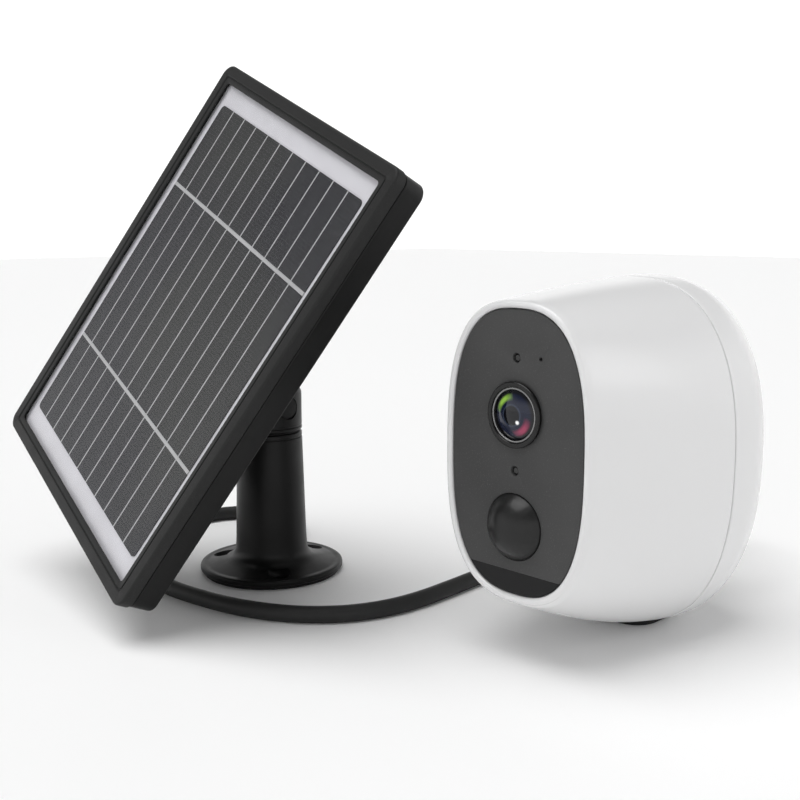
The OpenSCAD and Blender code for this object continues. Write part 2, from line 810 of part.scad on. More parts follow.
// The cord's route from the stand's outlet to the camera's plug
route = [
    [outlet_tip[0], outlet_tip[1], outlet_z],
    [-142.5, -15, 3.6], [-151, -13, 2.8], [-160, -15, 2.5], [-167, -20.5, 2.5], [-171.5, -28.5, 2.5],
    [-173.5, -40, 2.5], [-173.5, -52, 2.5], [-171, -63, 2.5], [-165.5, -73, 2.5], [-156.5, -80.5, 2.5],
    [-145, -86, 2.5], [-132.5, -89, 2.5], [-119.5, -90.2, 2.5], [-106, -90, 2.5], [-94, -88.5, 2.5], [-83, -86, 2.5], [-72, -81.5, 2.5],
    [-62.5, -75, 2.5], [-55, -66, 2.5], [-50.5, -55, 2.5], [-49, -43, 2.5], [-49.5, -30, 2.5],
    [-50.5, -16, 2.5], [-51.5, -2, 2.5], [-52, 12, 2.5], [-52, 26, 2.6], [-52, 40, 3.4],
    [-51, 53, 5.6], [-46.5, 65, 9.6], [-38.5, 74.5, 15], [-27.5, 79, 21], [-16.5, 77, 26.5],
    [-7.5, 70.5, 31], [-1.8, 62, 33.4], [0, plug_end, port_z]
];
tube_sides = 10;

function unit(v) = v / norm(v);
function along(i) = i == 0 ? [cos(outlet_angle), sin(outlet_angle), 0]
    : i == len(route) - 1 ? [0, -1, 0]
    : unit(route[i + 1] - route[i - 1]);

// A ring of the tube: one axis of the ring stays level
function tube_ring(i) = let (t = along(i), side = unit(cross(t, [0, 0, 1])), up = cross(side, t))
    [for (j = [0 : tube_sides - 1]) let (a = 360 * j / tube_sides)
        route[i] + cord_r * (cos(a) * side + sin(a) * up)];

module cord_tube() {
    count = len(route);
    points = flat([for (i = [0 : count - 1]) tube_ring(i)]);
    ends = [[for (j = [tube_sides - 1 : -1 : 0]) j],
            [for (j = [0 : tube_sides - 1]) (count - 1) * tube_sides + j]];
    color([0.15, 0.15, 0.15]) polyhedron(points, concat(ring_faces(count, tube_sides, false), ends));
}

module cord_plug() {
    start = rear_y - rear_panel_t + 0.2;
    color([0.1, 0.1, 0.1]) translate([0, start, port_z]) rotate([-90, 0, 0]) {
        cylinder(r = 5.1, h = 4);
        translate([0, 0, 4]) cylinder(r = 5.6, h = 10.5);
        translate([0, 0, 14.5]) cylinder(r1 = 4.6, r2 = 2.9, h = plug_end - start - 14.5);
    }
}

module plug_tip() {
    color("silver") translate([-3.4, rear_y - 7.5, port_z - 0.9]) cube([6.8, 6.1, 1.8]);
}

front_shell();
rear_cover();
shell_gasket();
fascia();
ir_window();
lens_bezel();
lens_trim_ring();
lens_glass();
lens_barrel();
inner_lens();
lens_holder();
image_sensor();
motion_dome();
motion_sensor();
light_sensor();
status_light();
ir_leds();
microphone();
front_board();
main_board();
shield_can();
wifi_antenna();
speaker();
battery_tray();
battery_cells();
battery_contacts();
board_screws();
rear_panel();
usb_socket();
card_socket();
power_button();
reset_button();
microsd_card();
tripod_insert();
foot_pad();
stand_base();
stand_pad();
friction_washer();
cord_outlet();
swivel_head();
pan_washer();
pan_screw();
tilt_bolt();
tilt_nut();
knuckle();
stud();
lock_nut();
panel_frame();
panel_glass();
solar_cells();
busbars();
backsheet();
panel_gasket();
panel_tray();
charge_board();
panel_insert();
panel_screws();
cord_tube();
cord_plug();
plug_tip();
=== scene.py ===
"""Battery security camera, its solar panel on a small stand and the cord that joins them.

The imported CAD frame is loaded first. Lengths inside the builders are in millimetres of that
frame and become metres in bare(). The pieces that show are made again in more detail, and the
other nodes keep their CAD shape with a better material.
"""
import json
from math import acos, atan2, copysign, cos, pi, radians, sin, sqrt

import bmesh
import bpy
from mathutils import Matrix, Vector


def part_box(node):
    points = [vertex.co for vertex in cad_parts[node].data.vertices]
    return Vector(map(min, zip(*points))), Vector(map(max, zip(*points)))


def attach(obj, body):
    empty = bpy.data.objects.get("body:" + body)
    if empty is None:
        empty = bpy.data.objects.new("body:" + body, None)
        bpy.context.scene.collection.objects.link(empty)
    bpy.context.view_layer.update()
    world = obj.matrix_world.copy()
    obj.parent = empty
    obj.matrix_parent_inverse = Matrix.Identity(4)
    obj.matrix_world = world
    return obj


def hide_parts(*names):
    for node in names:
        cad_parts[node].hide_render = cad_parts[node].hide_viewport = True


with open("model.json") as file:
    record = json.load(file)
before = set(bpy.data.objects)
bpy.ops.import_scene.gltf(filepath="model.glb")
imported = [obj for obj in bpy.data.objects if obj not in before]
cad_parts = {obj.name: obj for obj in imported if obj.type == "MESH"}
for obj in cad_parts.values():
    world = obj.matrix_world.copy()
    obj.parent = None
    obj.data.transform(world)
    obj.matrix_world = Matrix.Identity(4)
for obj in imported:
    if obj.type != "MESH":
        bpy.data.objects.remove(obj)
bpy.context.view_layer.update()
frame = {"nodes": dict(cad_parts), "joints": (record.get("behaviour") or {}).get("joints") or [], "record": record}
nodes = frame["nodes"]
MM = 0.001


def box(node):
    """The lowest and highest corner of a CAD node, in millimetres."""
    lo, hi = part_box(node)
    return lo / MM, hi / MM


def middle(node):
    """The middle of a CAD node's box, in millimetres."""
    return sum(box(node), Vector()) / 2


def joint_place(name):
    """A joint's point, in millimetres, and its axis."""
    joint = next(j for j in frame["joints"] if j["name"] == name)
    return Vector(joint["pos_m"]) / MM, Vector(joint["axis"]).normalized()


def move(place):
    """Matrix of a shift."""
    return Matrix.Translation(place)


def turned(degrees, axis):
    """Matrix of a turn about one of the axes."""
    return Matrix.Rotation(radians(degrees), 4, axis)


# ---------- places that the frame gives ----------

FRONT_Y = box("front_shell")[0].y
SEAM = box("front_shell")[1].y - FRONT_Y
REAR_Y = box("rear_cover")[1].y
REAR_START = box("rear_cover")[0].y - FRONT_Y
FOOT_Z = box("foot_pad")[1].z
BODY_TOP = box("rear_cover")[1].z
BODY_HALF_W = box("rear_cover")[1].x
LENS_Z = middle("lens_bezel").z
DOME_Z = middle("motion_dome").z
LIGHT_Z = middle("light_sensor").z
LED_Z = middle("status_light").z
IR_TOP = box("ir_window")[1].z
POWER_Z = middle("power_button").z
RESET_Z = middle("reset_button").z
CARD_Z = middle("microsd_card").z
PORT_Z = middle("cord_plug").z
PANEL_MID_Z = middle("rear_panel").z
MIC = middle("microphone").xz

STAND = joint_place("stand_pan")[0]
PIVOT = joint_place("panel_tilt")[0]
ROLL_AXIS = joint_place("panel_roll")[1]
TILT = atan2(-ROLL_AXIS.z, ROLL_AXIS.y)
COLUMN_TOP = box("friction_washer")[0].z
HEAD_LOW = box("friction_washer")[1].z + 0.05
HEAD_TOP = box("swivel_head")[1].z

# ---------- sizes that the CAD design shares with this script, in millimetres ----------

PLATE_A, PLATE_B, PLATE_Z, PLATE_N = 21.2, 36.6, 56.9, 2.7
PLATE_FRONT, PLATE_T = 0.6, 2.2
RIM = 2.0
WIDEST, REAR_ROUND, SINK = 58.8, 28.9, -1.0
BODY_N, FLARE, KEEL, FLAT_K, WALL = 2.4, 1.4, 1.6, 0.46, 2.2
PANEL_W, PANEL_L, PANEL_T, BEZEL_W = 105.0, 140.0, 11.4, 5.6
ROLL = radians(23)
REACH, RISE = 47.6, 14.5
LIP_T, SHEET_R = 0.6, 1.8
CELL_LOW, CELL_HIGH = REACH - 1.75, REACH - 1.45
TRAY_INSET, TRAY_CORNER = 0.3, 4.0
STRIPS, STRIP_GAP, BUS_W = 11, 0.5, 1.2
FINGER_PITCH, NOTCHED_STRIP = 1.15, 4
THREAD_PITCH, SPIGOT_R, SPIGOT_LOW, BOLT_R = 1.27, 5.0, 40.0, 2.0
OUTLET_ANGLE, OUTLET_Z, OUTLET_END = radians(130), 4.4, 40.0
COLUMN_R, COLUMN_TOP_R, PAD_T = 11.7, 10.6, 1.2
KNUCKLE_R, KNUCKLE_T = 6.0, 8.0
CLEARANCE, FOOT_HOLE_R, WINDOW_JOINT = 0.06, 5.5, 0.04
INSERT_R = 3.175
CORD_D, PLUG_END = 5.0, 53.0

# ---------- camera ----------

camera_data = bpy.data.cameras.new("camera")
camera_data.lens = 49.5
camera_data.sensor_width = 36
camera_data.clip_start = 0.01
camera = bpy.data.objects.new("camera", camera_data)
camera.location = (0.1733, -0.2685, 0.1151)
camera.rotation_euler = (radians(90 - 9.3), 0, radians(45.6))
bpy.context.scene.collection.objects.link(camera)
bpy.context.scene.camera = camera

# ---------- materials ----------


def rgb(level, tint=(1, 1, 1)):
    return tuple(level * t for t in tint) + (1,)


class Look:
    """A Principled material whose grain, blotches and bump come from procedural nodes."""

    def __init__(self, name, color, roughness, metallic=0.0, **sockets):
        self.material = bpy.data.materials.new(name)
        self.material.use_nodes = True
        self.tree = self.material.node_tree
        self.shader = self.tree.nodes["Principled BSDF"]
        self.color = color
        self.shader.inputs["Base Color"].default_value = color
        self.shader.inputs["Roughness"].default_value = roughness
        self.shader.inputs["Metallic"].default_value = metallic
        for socket, value in sockets.items():
            self.shader.inputs[socket.replace("_", " ")].default_value = value
        self.height = None

    def node(self, kind, **values):
        made = self.tree.nodes.new(kind)
        for key, value in values.items():
            if key in made.inputs:
                made.inputs[key].default_value = value
            else:
                setattr(made, key, value)
        return made

    def link(self, a, b):
        self.tree.links.new(a, b)

    def place(self):
        return self.node("ShaderNodeTexCoord").outputs["Object"]

    def noise(self, size_mm, detail=2.0, stretch=(1, 1, 1)):
        """Noise whose blobs are about size_mm across."""
        mapping = self.node("ShaderNodeMapping")
        mapping.inputs["Scale"].default_value = stretch
        self.link(self.place(), mapping.inputs["Vector"])
        made = self.node("ShaderNodeTexNoise", Scale=1000.0 / size_mm, Detail=detail)
        self.link(mapping.outputs["Vector"], made.inputs["Vector"])
        return made.outputs["Fac"]

    def ramp(self, value, low, high, at=(0.3, 0.7)):
        made = self.node("ShaderNodeMapRange")
        for key, number in zip(("From Min", "From Max", "To Min", "To Max"), (*at, low, high)):
            made.inputs[key].default_value = number
        self.link(value, made.inputs["Value"])
        return made.outputs["Result"]

    def mix(self, factor, a, b, mode="MIX"):
        made = self.node("ShaderNodeMix", data_type="RGBA", blend_type=mode)
        for name, kind, value in (("A", "RGBA", a), ("B", "RGBA", b), ("Factor", "VALUE", factor)):
            target = next(i for i in made.inputs if i.name == name and i.type == kind)
            if isinstance(value, (tuple, float)):
                target.default_value = value
            else:
                self.link(value, target)
        return next(o for o in made.outputs if o.type == "RGBA")

    def vary(self, size_mm, darker, lighter):
        """The base colour drifts between two shades."""
        a = tuple(c * darker for c in self.color[:3]) + (1,)
        b = tuple(min(1, c * lighter) for c in self.color[:3]) + (1,)
        mixed = self.mix(self.ramp(self.noise(size_mm, 4), 0, 1), a, b)
        self.link(mixed, self.shader.inputs["Base Color"])
        return self

    def rough(self, size_mm, low, high):
        """The roughness drifts between two values, as handling leaves it."""
        self.link(self.ramp(self.noise(size_mm, 5), low, high), self.shader.inputs["Roughness"])
        return self

    def bump(self, size_mm, depth_mm, detail=2.0, stretch=(1, 1, 1)):
        made = self.node("ShaderNodeBump", Strength=1.0, Distance=depth_mm * MM)
        self.link(self.noise(size_mm, detail, stretch), made.inputs["Height"])
        if self.height is not None:
            self.link(self.height, made.inputs["Normal"])
        self.height = made.outputs["Normal"]
        self.link(self.height, self.shader.inputs["Normal"])
        return self


def moulded(name, color, roughness, texture, depth, spread, specular=0.5):
    """Moulded plastic or rubber with a fine spark-eroded grain and slightly uneven gloss."""
    look = Look(name, color, roughness, Specular_IOR_Level=specular)
    look.vary(14, 0.94, 1.05)
    look.rough(7, roughness - spread, roughness + spread)
    look.bump(texture, depth, 3)
    return look.material


def metal(name, color, roughness, brushed=(1, 1, 1)):
    look = Look(name, color, roughness, metallic=1.0)
    look.vary(6, 0.88, 1.05)
    look.rough(3, roughness * 0.7, roughness * 1.4)
    look.bump(0.5, 0.003, 3, brushed)
    return look.material


def speckled(name, color, roughness, speck, share, size_mm, depth, specular):
    """Plastic with fine light specks, as a textured matt moulding shows close up."""
    look = Look(name, color, roughness, Specular_IOR_Level=specular)
    fleck = look.ramp(look.noise(size_mm, 1), 0, 1, (share, share + 0.12))
    drift = look.mix(look.ramp(look.noise(22, 3), 0, 1), rgb(0.9, color[:3]), rgb(1.1, color[:3]))
    look.link(look.mix(fleck, drift, speck), look.shader.inputs["Base Color"])
    look.rough(9, roughness - 0.05, roughness + 0.06)
    look.bump(size_mm, depth, 2)
    return look.material


def shell_look():
    look = Look("shell_white", rgb(0.73, (1, 1, 1.005)), 0.27, Coat_Weight=0.35, Coat_Roughness=0.12,
                Specular_IOR_Level=0.5)
    look.bump(0.9, 0.0006, 2)
    return look.material


def cell_look():
    """Dark silicon: fine crystal grain, hair-thin contact fingers across and a faint greenish lighter drift that
    is a painted sheen.
    """
    look = Look("silicon", rgb(0.045, (1, 1, 1.12)), 0.42, Coat_Weight=0.15, Coat_Roughness=0.2,
                Specular_IOR_Level=0.25)
    along = panel_frame_matrix().to_3x3() @ Vector((0, 0, 1))
    height = look.node("ShaderNodeVectorMath", operation="DOT_PRODUCT")
    height.inputs[1].default_value = along
    look.link(look.place(), height.inputs[0])

    def times(value, factor):
        made = look.node("ShaderNodeMath", operation="MULTIPLY")
        made.inputs[1].default_value = factor
        look.link(value, made.inputs[0])
        return made.outputs[0]

    wave = look.node("ShaderNodeMath", operation="SINE")
    look.link(times(height.outputs["Value"], 2 * pi / (FINGER_PITCH * MM)), wave.inputs[0])
    fingers = look.ramp(wave.outputs[0], 0, 1, (0.94, 1.0))
    grain = look.ramp(look.noise(0.7, 2), 0, 1, (0.35, 0.7))
    base = look.mix(grain, rgb(0.027, (1, 1, 1.22)), rgb(0.046, (1, 1, 1.18)))
    # painted sheen: a faint greenish lighter drift, laid out by noise
    drift = look.ramp(look.noise(55, 1), 0, 0.55, (0.42, 0.68))
    base = look.mix(drift, base, rgb(0.056, (1.0, 1.02, 0.94)))
    base = look.mix(look.ramp(look.noise(0.35, 1), 0, 0.5, (0.62, 0.74)), base, rgb(0.09))
    base = look.mix(times(fingers, 0.35), base, rgb(0.16))
    look.link(base, look.shader.inputs["Base Color"])
    look.rough(5, 0.34, 0.5)
    look.bump(0.5, 0.002, 2)
    return look.material


def coating_with_painted_reflections_look():
    """Coated front element: deep blue, with a painted green reflection high on one side, a painted magenta
    reflection low on the other and a small painted highlight, all glowing faintly as painted light.
    """
    look = Look("lens_coating_with_painted_reflections", rgb(0.01, (0.5, 0.75, 2.0)), 0.09, Coat_Weight=0.3, Coat_Roughness=0.03,
                Specular_IOR_Level=0.3)
    place = look.place()

    def patch(x, z, radius, soft):
        near = look.node("ShaderNodeVectorMath", operation="DISTANCE")
        near.inputs[1].default_value = Vector((x, 0, LENS_Z + z)) * MM
        flat = look.node("ShaderNodeVectorMath", operation="MULTIPLY")
        flat.inputs[1].default_value = (1, 0, 1)
        look.link(place, flat.inputs[0])
        look.link(flat.outputs["Vector"], near.inputs[0])
        return look.ramp(near.outputs["Value"], 1, 0, ((radius - soft) * MM, (radius + soft) * MM))

    deep, navy = rgb(0.0025, (0.8, 0.9, 1.6)), rgb(0.010, (0.4, 0.65, 2.0))
    core = look.mix(patch(0, 0, 2.9, 0.15), navy, rgb(0.035, (0.6, 0.8, 1.3)))
    core = look.mix(patch(0, 0, 2.5, 0.15), core, deep)
    # painted reflections: a green one high on one side and a magenta one low on the other
    edge = look.mix(patch(-3.1, 3.2, 2.1, 1.3), navy, rgb(0.38, (0.55, 1.0, 0.14)))
    edge = look.mix(patch(3.0, -3.2, 2.1, 1.3), edge, rgb(0.24, (1.0, 0.12, 0.30)))
    tone_with_painted_reflections = look.mix(patch(0, 0, 4.0, 0.4), edge, core)
    tone_with_painted_reflections = look.mix(patch(0, 0, 5.4, 0.3), deep, tone_with_painted_reflections)
    # a small painted highlight
    tone_with_painted_reflections = look.mix(patch(1.9, -1.6, 0.45, 0.2), tone_with_painted_reflections, rgb(0.85))
    look.link(tone_with_painted_reflections, look.shader.inputs["Base Color"])
    # the lens colour, with its painted reflections and highlight, also glows faintly as emission: painted light
    look.link(tone_with_painted_reflections, look.shader.inputs["Emission Color"])
    look.shader.inputs["Emission Strength"].default_value = 0.35
    return look.material


def clear_look(name, color, alpha, roughness=0.03):
    look = Look(name, color, roughness, IOR=1.5, Alpha=alpha)
    look.bump(25, 0.004, 1)
    return look.material


def tilt_frame():
    """Matrix of the tilting parts in millimetres: X across, Y back along the stud, Z up."""
    return move(PIVOT) @ Matrix.Rotation(-TILT, 4, "X")


def panel_frame_matrix():
    """Matrix of the panel: X across, Y back, Z along the panel, from the middle of the stud's line."""
    return tilt_frame() @ Matrix.Rotation(ROLL, 4, "Y") @ move((0, 0, RISE))


M = {
    "white_shell": shell_look(),
    "dark_plate": speckled("fascia_grey", rgb(0.056), 0.42, rgb(0.085), 0.62, 0.35, 0.002, 0.2),
    "ir_filter": moulded("ir_filter", rgb(0.006, (1, 1, 1.08)), 0.20, 2.0, 0.001, 0.04, 0.22),
    "black_plastic": moulded("black_plastic", rgb(0.0045), 0.40, 0.7, 0.005, 0.06, 0.22),
    "black_metal": metal("black_metal", rgb(0.035), 0.34),
    "smoked": moulded("smoked", rgb(0.012), 0.12, 1.0, 0.001, 0.03),
    "gloss_black": moulded("gloss_black", rgb(0.006), 0.24, 1.2, 0.001, 0.05, 0.35),
    "dome_plastic": moulded("dome_plastic", rgb(0.010), 0.34, 1.0, 0.002, 0.05, 0.35),
    "frame_plastic": speckled("frame_plastic", rgb(0.017), 0.48, rgb(0.030), 0.62, 0.30, 0.003, 0.2),
    "soft_rubber": moulded("soft_rubber", rgb(0.012), 0.62, 0.8, 0.006, 0.06, 0.2),
    "cord_rubber": moulded("cord_rubber", rgb(0.020), 0.52, 0.9, 0.005, 0.07, 0.22),
    "lens_glass": clear_look("lens_glass", rgb(0.9, (0.9, 0.95, 1.0)), 0.16),
    "coating": coating_with_painted_reflections_look(),
    "clear_glass": clear_look("panel_glass", rgb(0.04, (0.98, 1.0, 0.99)), 0.10),
    "silver_ring": metal("silver_ring", rgb(0.26), 0.26),
    "steel": metal("steel", rgb(0.48, (1, 1, 1.02)), 0.30, (1, 1, 4)),
    "brass": metal("brass", rgb(0.70, (1, 0.72, 0.36)), 0.30),
    "board": moulded("board", rgb(0.10, (0.15, 1.0, 0.40)), 0.38, 2.0, 0.01, 0.06),
    "inner_plastic": moulded("inner_plastic", rgb(0.035), 0.45, 0.8, 0.006, 0.06),
    "cell_sleeve": moulded("cell_sleeve", rgb(0.42, (0.10, 0.42, 1.0)), 0.28, 5.0, 0.01, 0.06),
    "silicon": cell_look(),
    "ribbon": moulded("ribbon", rgb(0.60, (1, 1, 1.02)), 0.34, 0.9, 0.004, 0.06),
    "backing": moulded("backing", rgb(0.88, (0.985, 0.975, 1.03)), 0.46, 1.2, 0.002, 0.05),
    "chip_silicon": moulded("chip_silicon", rgb(0.05, (0.6, 0.9, 1.2)), 0.12, 1.0, 0.001, 0.03),
    "light_pipe": moulded("light_pipe", rgb(0.42), 0.2, 2.0, 0.001, 0.05),
}

# ---------- mesh tools: everything is drawn in millimetres ----------


def merge(piece, distance, outwards=False):
    """Merges doubled points, and turns every face outwards where asked."""
    work = bmesh.new()
    work.from_mesh(piece.data)
    bmesh.ops.remove_doubles(work, verts=work.verts, dist=distance)
    bmesh.ops.dissolve_degenerate(work, edges=work.edges, dist=1e-8)
    if outwards:
        bmesh.ops.recalc_face_normals(work, faces=work.faces)
    work.to_mesh(piece.data)
    work.free()


def shade(piece, sharp):
    """Smooth shading, with an edge wherever two faces meet at more than sharp degrees."""
    piece.data.shade_smooth()
    piece.data.set_sharp_from_angle(angle=radians(sharp))


def bare(name, verts, faces, ending=""):
    """An object without a look, from millimetre points."""
    data = bpy.data.meshes.new(name)
    data.from_pydata([Vector(v) * MM for v in verts], [], faces)
    piece = bpy.data.objects.new(name + ending, data)
    bpy.context.scene.collection.objects.link(piece)
    merge(piece, 1e-7, outwards=True)
    return piece


def solid(verts, faces):
    """A bare object to cut or join with."""
    return bare("tool", verts, faces)


def make(name, verts, faces, look, body="base", slot=None, sharp=32):
    """A finished piece, in place of the CAD node of the same name."""
    piece = bare(name, verts, faces, "_fine")
    piece.data.materials.append(M[look])
    shade(piece, sharp)
    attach(piece, body)
    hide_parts(name)
    return piece


def apply_modifiers(piece):
    """Freezes the modifiers into the mesh."""
    graph = bpy.context.evaluated_depsgraph_get()
    graph.update()
    data = bpy.data.meshes.new_from_object(piece.evaluated_get(graph))
    piece.modifiers.clear()
    piece.data = data


def loft(rings, closed=False):
    """Points and faces of a skin over rings of equal count. closed joins the last ring to the first."""
    m = len(rings[0])
    verts = [p for r in rings for p in r]
    faces = []
    for i in range(len(rings) - (0 if closed else 1)):
        a, b = i * m, ((i + 1) % len(rings)) * m
        faces += [(a + j, a + (j + 1) % m, b + (j + 1) % m, b + j) for j in range(m)]
    if not closed:
        faces.append(tuple(range(m - 1, -1, -1)))
        last = (len(rings) - 1) * m
        faces.append(tuple(range(last, last + m)))
    return verts, faces


def together(parts):
    """Several shapes' points and faces as one shape."""
    verts, faces = [], []
    for more_verts, more_faces in parts:
        faces += [tuple(i + len(verts) for i in face) for face in more_faces]
        verts += more_verts
    return verts, faces


def placed(points, place):
    return [place @ Vector(p) for p in points]


def level(outline, z, place):
    """A flat outline at one height of a place."""
    return placed([(x, y, z) for x, y in outline], place)


def lathe(profile, place, segments=96, closed=False, radius=lambda r, a, h: r):
    """A turned shape: profile holds (radius, height) along local Z of place.
    radius, where given, changes a radius by angle and height."""
    angles = steps(0, 2 * pi, segments)[:-1]
    rings = [placed([(radius(r, a, h) * cos(a), radius(r, a, h) * sin(a), h) for a in angles], place)
             for r, h in profile]
    return loft(rings, closed)


def steps(a, b, count):
    """Evenly spaced numbers from a to b, both included."""
    return [a + (b - a) * i / count for i in range(count + 1)]


def arc(cx, cy, r, start, end, count=6):
    """Points of a round corner in a profile, angles in degrees."""
    return [(cx + r * cos(radians(a)), cy + r * sin(radians(a))) for a in steps(start, end, count)]


def rounded(w, h, r, count=8):
    """Round-cornered rectangle, anticlockwise, with the same count of points for every size."""
    r = max(min(r, w / 2, h / 2), 0.001)
    cx, cy = w / 2 - r, h / 2 - r
    corners = [(cx, cy, 0), (-cx, cy, 90), (-cx, -cy, 180), (cx, -cy, 270)]
    return [p for x, y, a in corners for p in arc(x, y, r, a, a + 90, count)]


def super_outline(a, b, n, count):
    """A rounded box between an ellipse (n = 2) and a rectangle."""
    def bent(v):
        return copysign(abs(v) ** (2 / n), v)
    return [(a * bent(cos(t)), b * bent(sin(t))) for t in steps(0, 2 * pi, count)[:-1]]


def plate_rings(place, w, h, corner, profile, count):
    """Rings of a round-cornered plate, from (inset, height) pairs."""
    return [level(rounded(w - 2 * i, h - 2 * i, max(corner - i, 1), count), z, place)
            for i, z in profile]


def combine(piece, tools, how="DIFFERENCE"):
    """Cuts the tools out of a piece, or joins them to it, and removes them."""
    for tool in tools:
        modifier = piece.modifiers.new("cut", "BOOLEAN")
        modifier.operation = how
        modifier.solver = "EXACT"
        modifier.object = tool
    apply_modifiers(piece)
    for tool in tools:
        bpy.data.objects.remove(tool)
    return piece


def refresh(piece, sharp=32):
    """Shading again, after a boolean has made new edges."""
    merge(piece, 2e-7)
    shade(piece, sharp)
    return piece


def rod(place, r, z0, z1, segments=48, r2=None):
    """A plain cylinder or cone as a boolean tool."""
    return solid(*lathe([(r, z0), (r2 or r, z1)], place, segments))


def prism(place, outline, z0, z1):
    """A straight prism over a 2D outline as a boolean tool."""
    return solid(*loft([level(outline, z, place) for z in (z0, z1)]))


# ---------- the body's form ----------

SIDES = 168
REAR_FLAT = REAR_Y - FRONT_Y


def ahead(y):
    """Share of the way still to go to the widest section at depth y."""
    return max(0.0, WIDEST - y) / WIDEST


def section(y, inset=0.0, k=None, lowest=FOOT_Z, edge=0.8):
    """One ring of the body at depth y, made smaller by inset and kept above the flat foot."""
    s = 1 - ahead(y) ** FLARE
    if k is None:
        k = sqrt(max(0.0, 1 - (max(0.0, y - WIDEST) / REAR_ROUND) ** 2))
    top = BODY_TOP - (BODY_TOP - PLATE_Z - PLATE_B - RIM) * ahead(y) ** FLARE
    bottom = (PLATE_Z - PLATE_B - RIM + SINK) * ahead(y) ** KEEL - SINK
    a = (PLATE_A + RIM + (BODY_HALF_W - PLATE_A - RIM) * s) * k - inset
    b = (top - bottom) / 2 * k - inset
    mid = (top + bottom) / 2
    n = PLATE_N + (BODY_N - PLATE_N) * s
    return [lift(x, y, mid + z, lowest, edge) for x, z in super_outline(a, b, n, SIDES)]


def plate_section(y, grow, lowest=FOOT_Z):
    return [lift(x, y, PLATE_Z + z, lowest, 0.8)
            for x, z in super_outline(PLATE_A + grow, PLATE_B + grow, PLATE_N, SIDES)]


def lift(x, y, z, lowest, edge):
    """Point of a ring, bent softly onto the flat foot."""
    above = z - lowest
    return Vector((x, FRONT_Y + y, lowest + (above + sqrt(above * above + edge * edge)) / 2))


FACING = move((0, FRONT_Y, 0)) @ turned(90, "X")


def front_place(x, z):
    """Matrix on the camera's front: local Z points out of it."""
    return FACING @ move((x, z, 0))


def rear_place(x, z):
    """Matrix on the flat rear face: local Z points out of it."""
    return move((x, REAR_Y, z)) @ turned(-90, "X")


def front_shell():
    edge = 0.35
    rings = [plate_section(2.85, 0.15), plate_section(1.6, 0.15)]
    for i in range(9):
        t = pi * i / 8
        rings.append(plate_section(0.9 - 0.9 * sin(t), 0.15 + 0.925 * (1 - cos(t))))
    rings += [section(y) for y in steps(1.5, SEAM - edge, 36)]
    rings += [section(SEAM - edge + edge * sin(t), edge * (1 - cos(t)))
              for t in (pi / 6, pi / 3, pi / 2)]
    inner = FOOT_Z + WALL
    rings += [section(y, WALL, lowest=inner) for y in steps(SEAM, 7, 16)]
    rings += [plate_section(5.2, -2), plate_section(2.95, -2)]
    shell = make("front_shell", *loft(rings, closed=True), "white_shell")
    tools = []
    for i in range(-3, 4):
        lean = turned(14, "Y")
        place = move((2.6 * i, FRONT_Y + 11.5, 13)) @ turned(-22, "X")
        tools.append(prism(place @ lean, rounded(1.0, 6.2, 0.48, 5), -7, 6))
    return refresh(combine(shell, tools))


def rear_cover():
    edge = 0.35
    rings = [section(REAR_START + edge - edge * sin(t), edge * (1 - cos(t)))
             for t in (pi / 2, pi / 3, pi / 6)]
    rings += [section(y) for y in steps(REAR_START + edge, WIDEST, 6)]
    share, flat = 0.50, 0.42
    stop = acos(share)
    rings += [section(WIDEST + REAR_ROUND * sin(t)) for t in steps(0, stop, 22)[1:]]
    start_y = WIDEST + REAR_ROUND * sin(stop)
    for t in steps(0, 1, 6)[1:]:
        k = (1 - t) ** 2 * share + 2 * t * (1 - t) * FLAT_K + t * t * flat
        y = (1 - t) ** 2 * start_y + (2 * t * (1 - t) + t * t) * REAR_FLAT
        rings.append(section(y, k=k))
    rings += [section(REAR_FLAT, k=k) for k in (0.3, 0.12)]
    outer = len(rings)
    inner_rings = [section(REAR_FLAT - WALL, 1, k=k, lowest=FOOT_Z + WALL) for k in (0.12, 0.3, FLAT_K)]
    inner_rings += [section(WIDEST + REAR_ROUND * sin(t) - WALL * sin(t), WALL, lowest=FOOT_Z + WALL)
                    for t in reversed(steps(0, stop, 8))]
    inner_rings += [section(y, WALL, lowest=FOOT_Z + WALL) for y in (55, REAR_START)]
    verts, faces = loft(rings + inner_rings, closed=True)
    hole = (outer - 1) * SIDES
    faces = [f for f in faces if not (min(f) // SIDES == outer - 1 and max(f) // SIDES == outer)]
    faces.append(tuple(range(hole, hole + SIDES)))
    faces.append(tuple(range(hole + 2 * SIDES - 1, hole + SIDES - 1, -1)))
    cover = make("rear_cover", verts, faces, "white_shell")
    place = rear_place(0, PANEL_MID_Z)
    tools = [prism(place, rounded(25.5, 41.5, 5.1, 10), -1.7, 4),
             prism(place, rounded(22, 38, 3.4, 10), -6, 1),
             rod(Matrix.Identity(4), FOOT_HOLE_R, -2, 6, 64)]
    return refresh(combine(cover, tools))


def shell_gasket():
    rings = [section(y, i, lowest=FOOT_Z + 0.4) for y, i in
             ((SEAM, 0.55), (REAR_START, 0.55), (REAR_START, 1.9), (SEAM, 1.9))]
    return make("shell_gasket", *loft(rings, closed=True), "soft_rubber")


def thread(pitch, depth, start, end):
    """Radius of a screw thread: the given depth below the major radius, fading out at both ends."""
    def radius(r, a, h):
        wave = abs(2 * ((h / pitch - a / (2 * pi)) % 1.0) - 1)
        fade = max(0.0, min(1.0, (h - start) / pitch, (end - h) / pitch))
        return r - depth * fade * (1 - wave)
    return radius


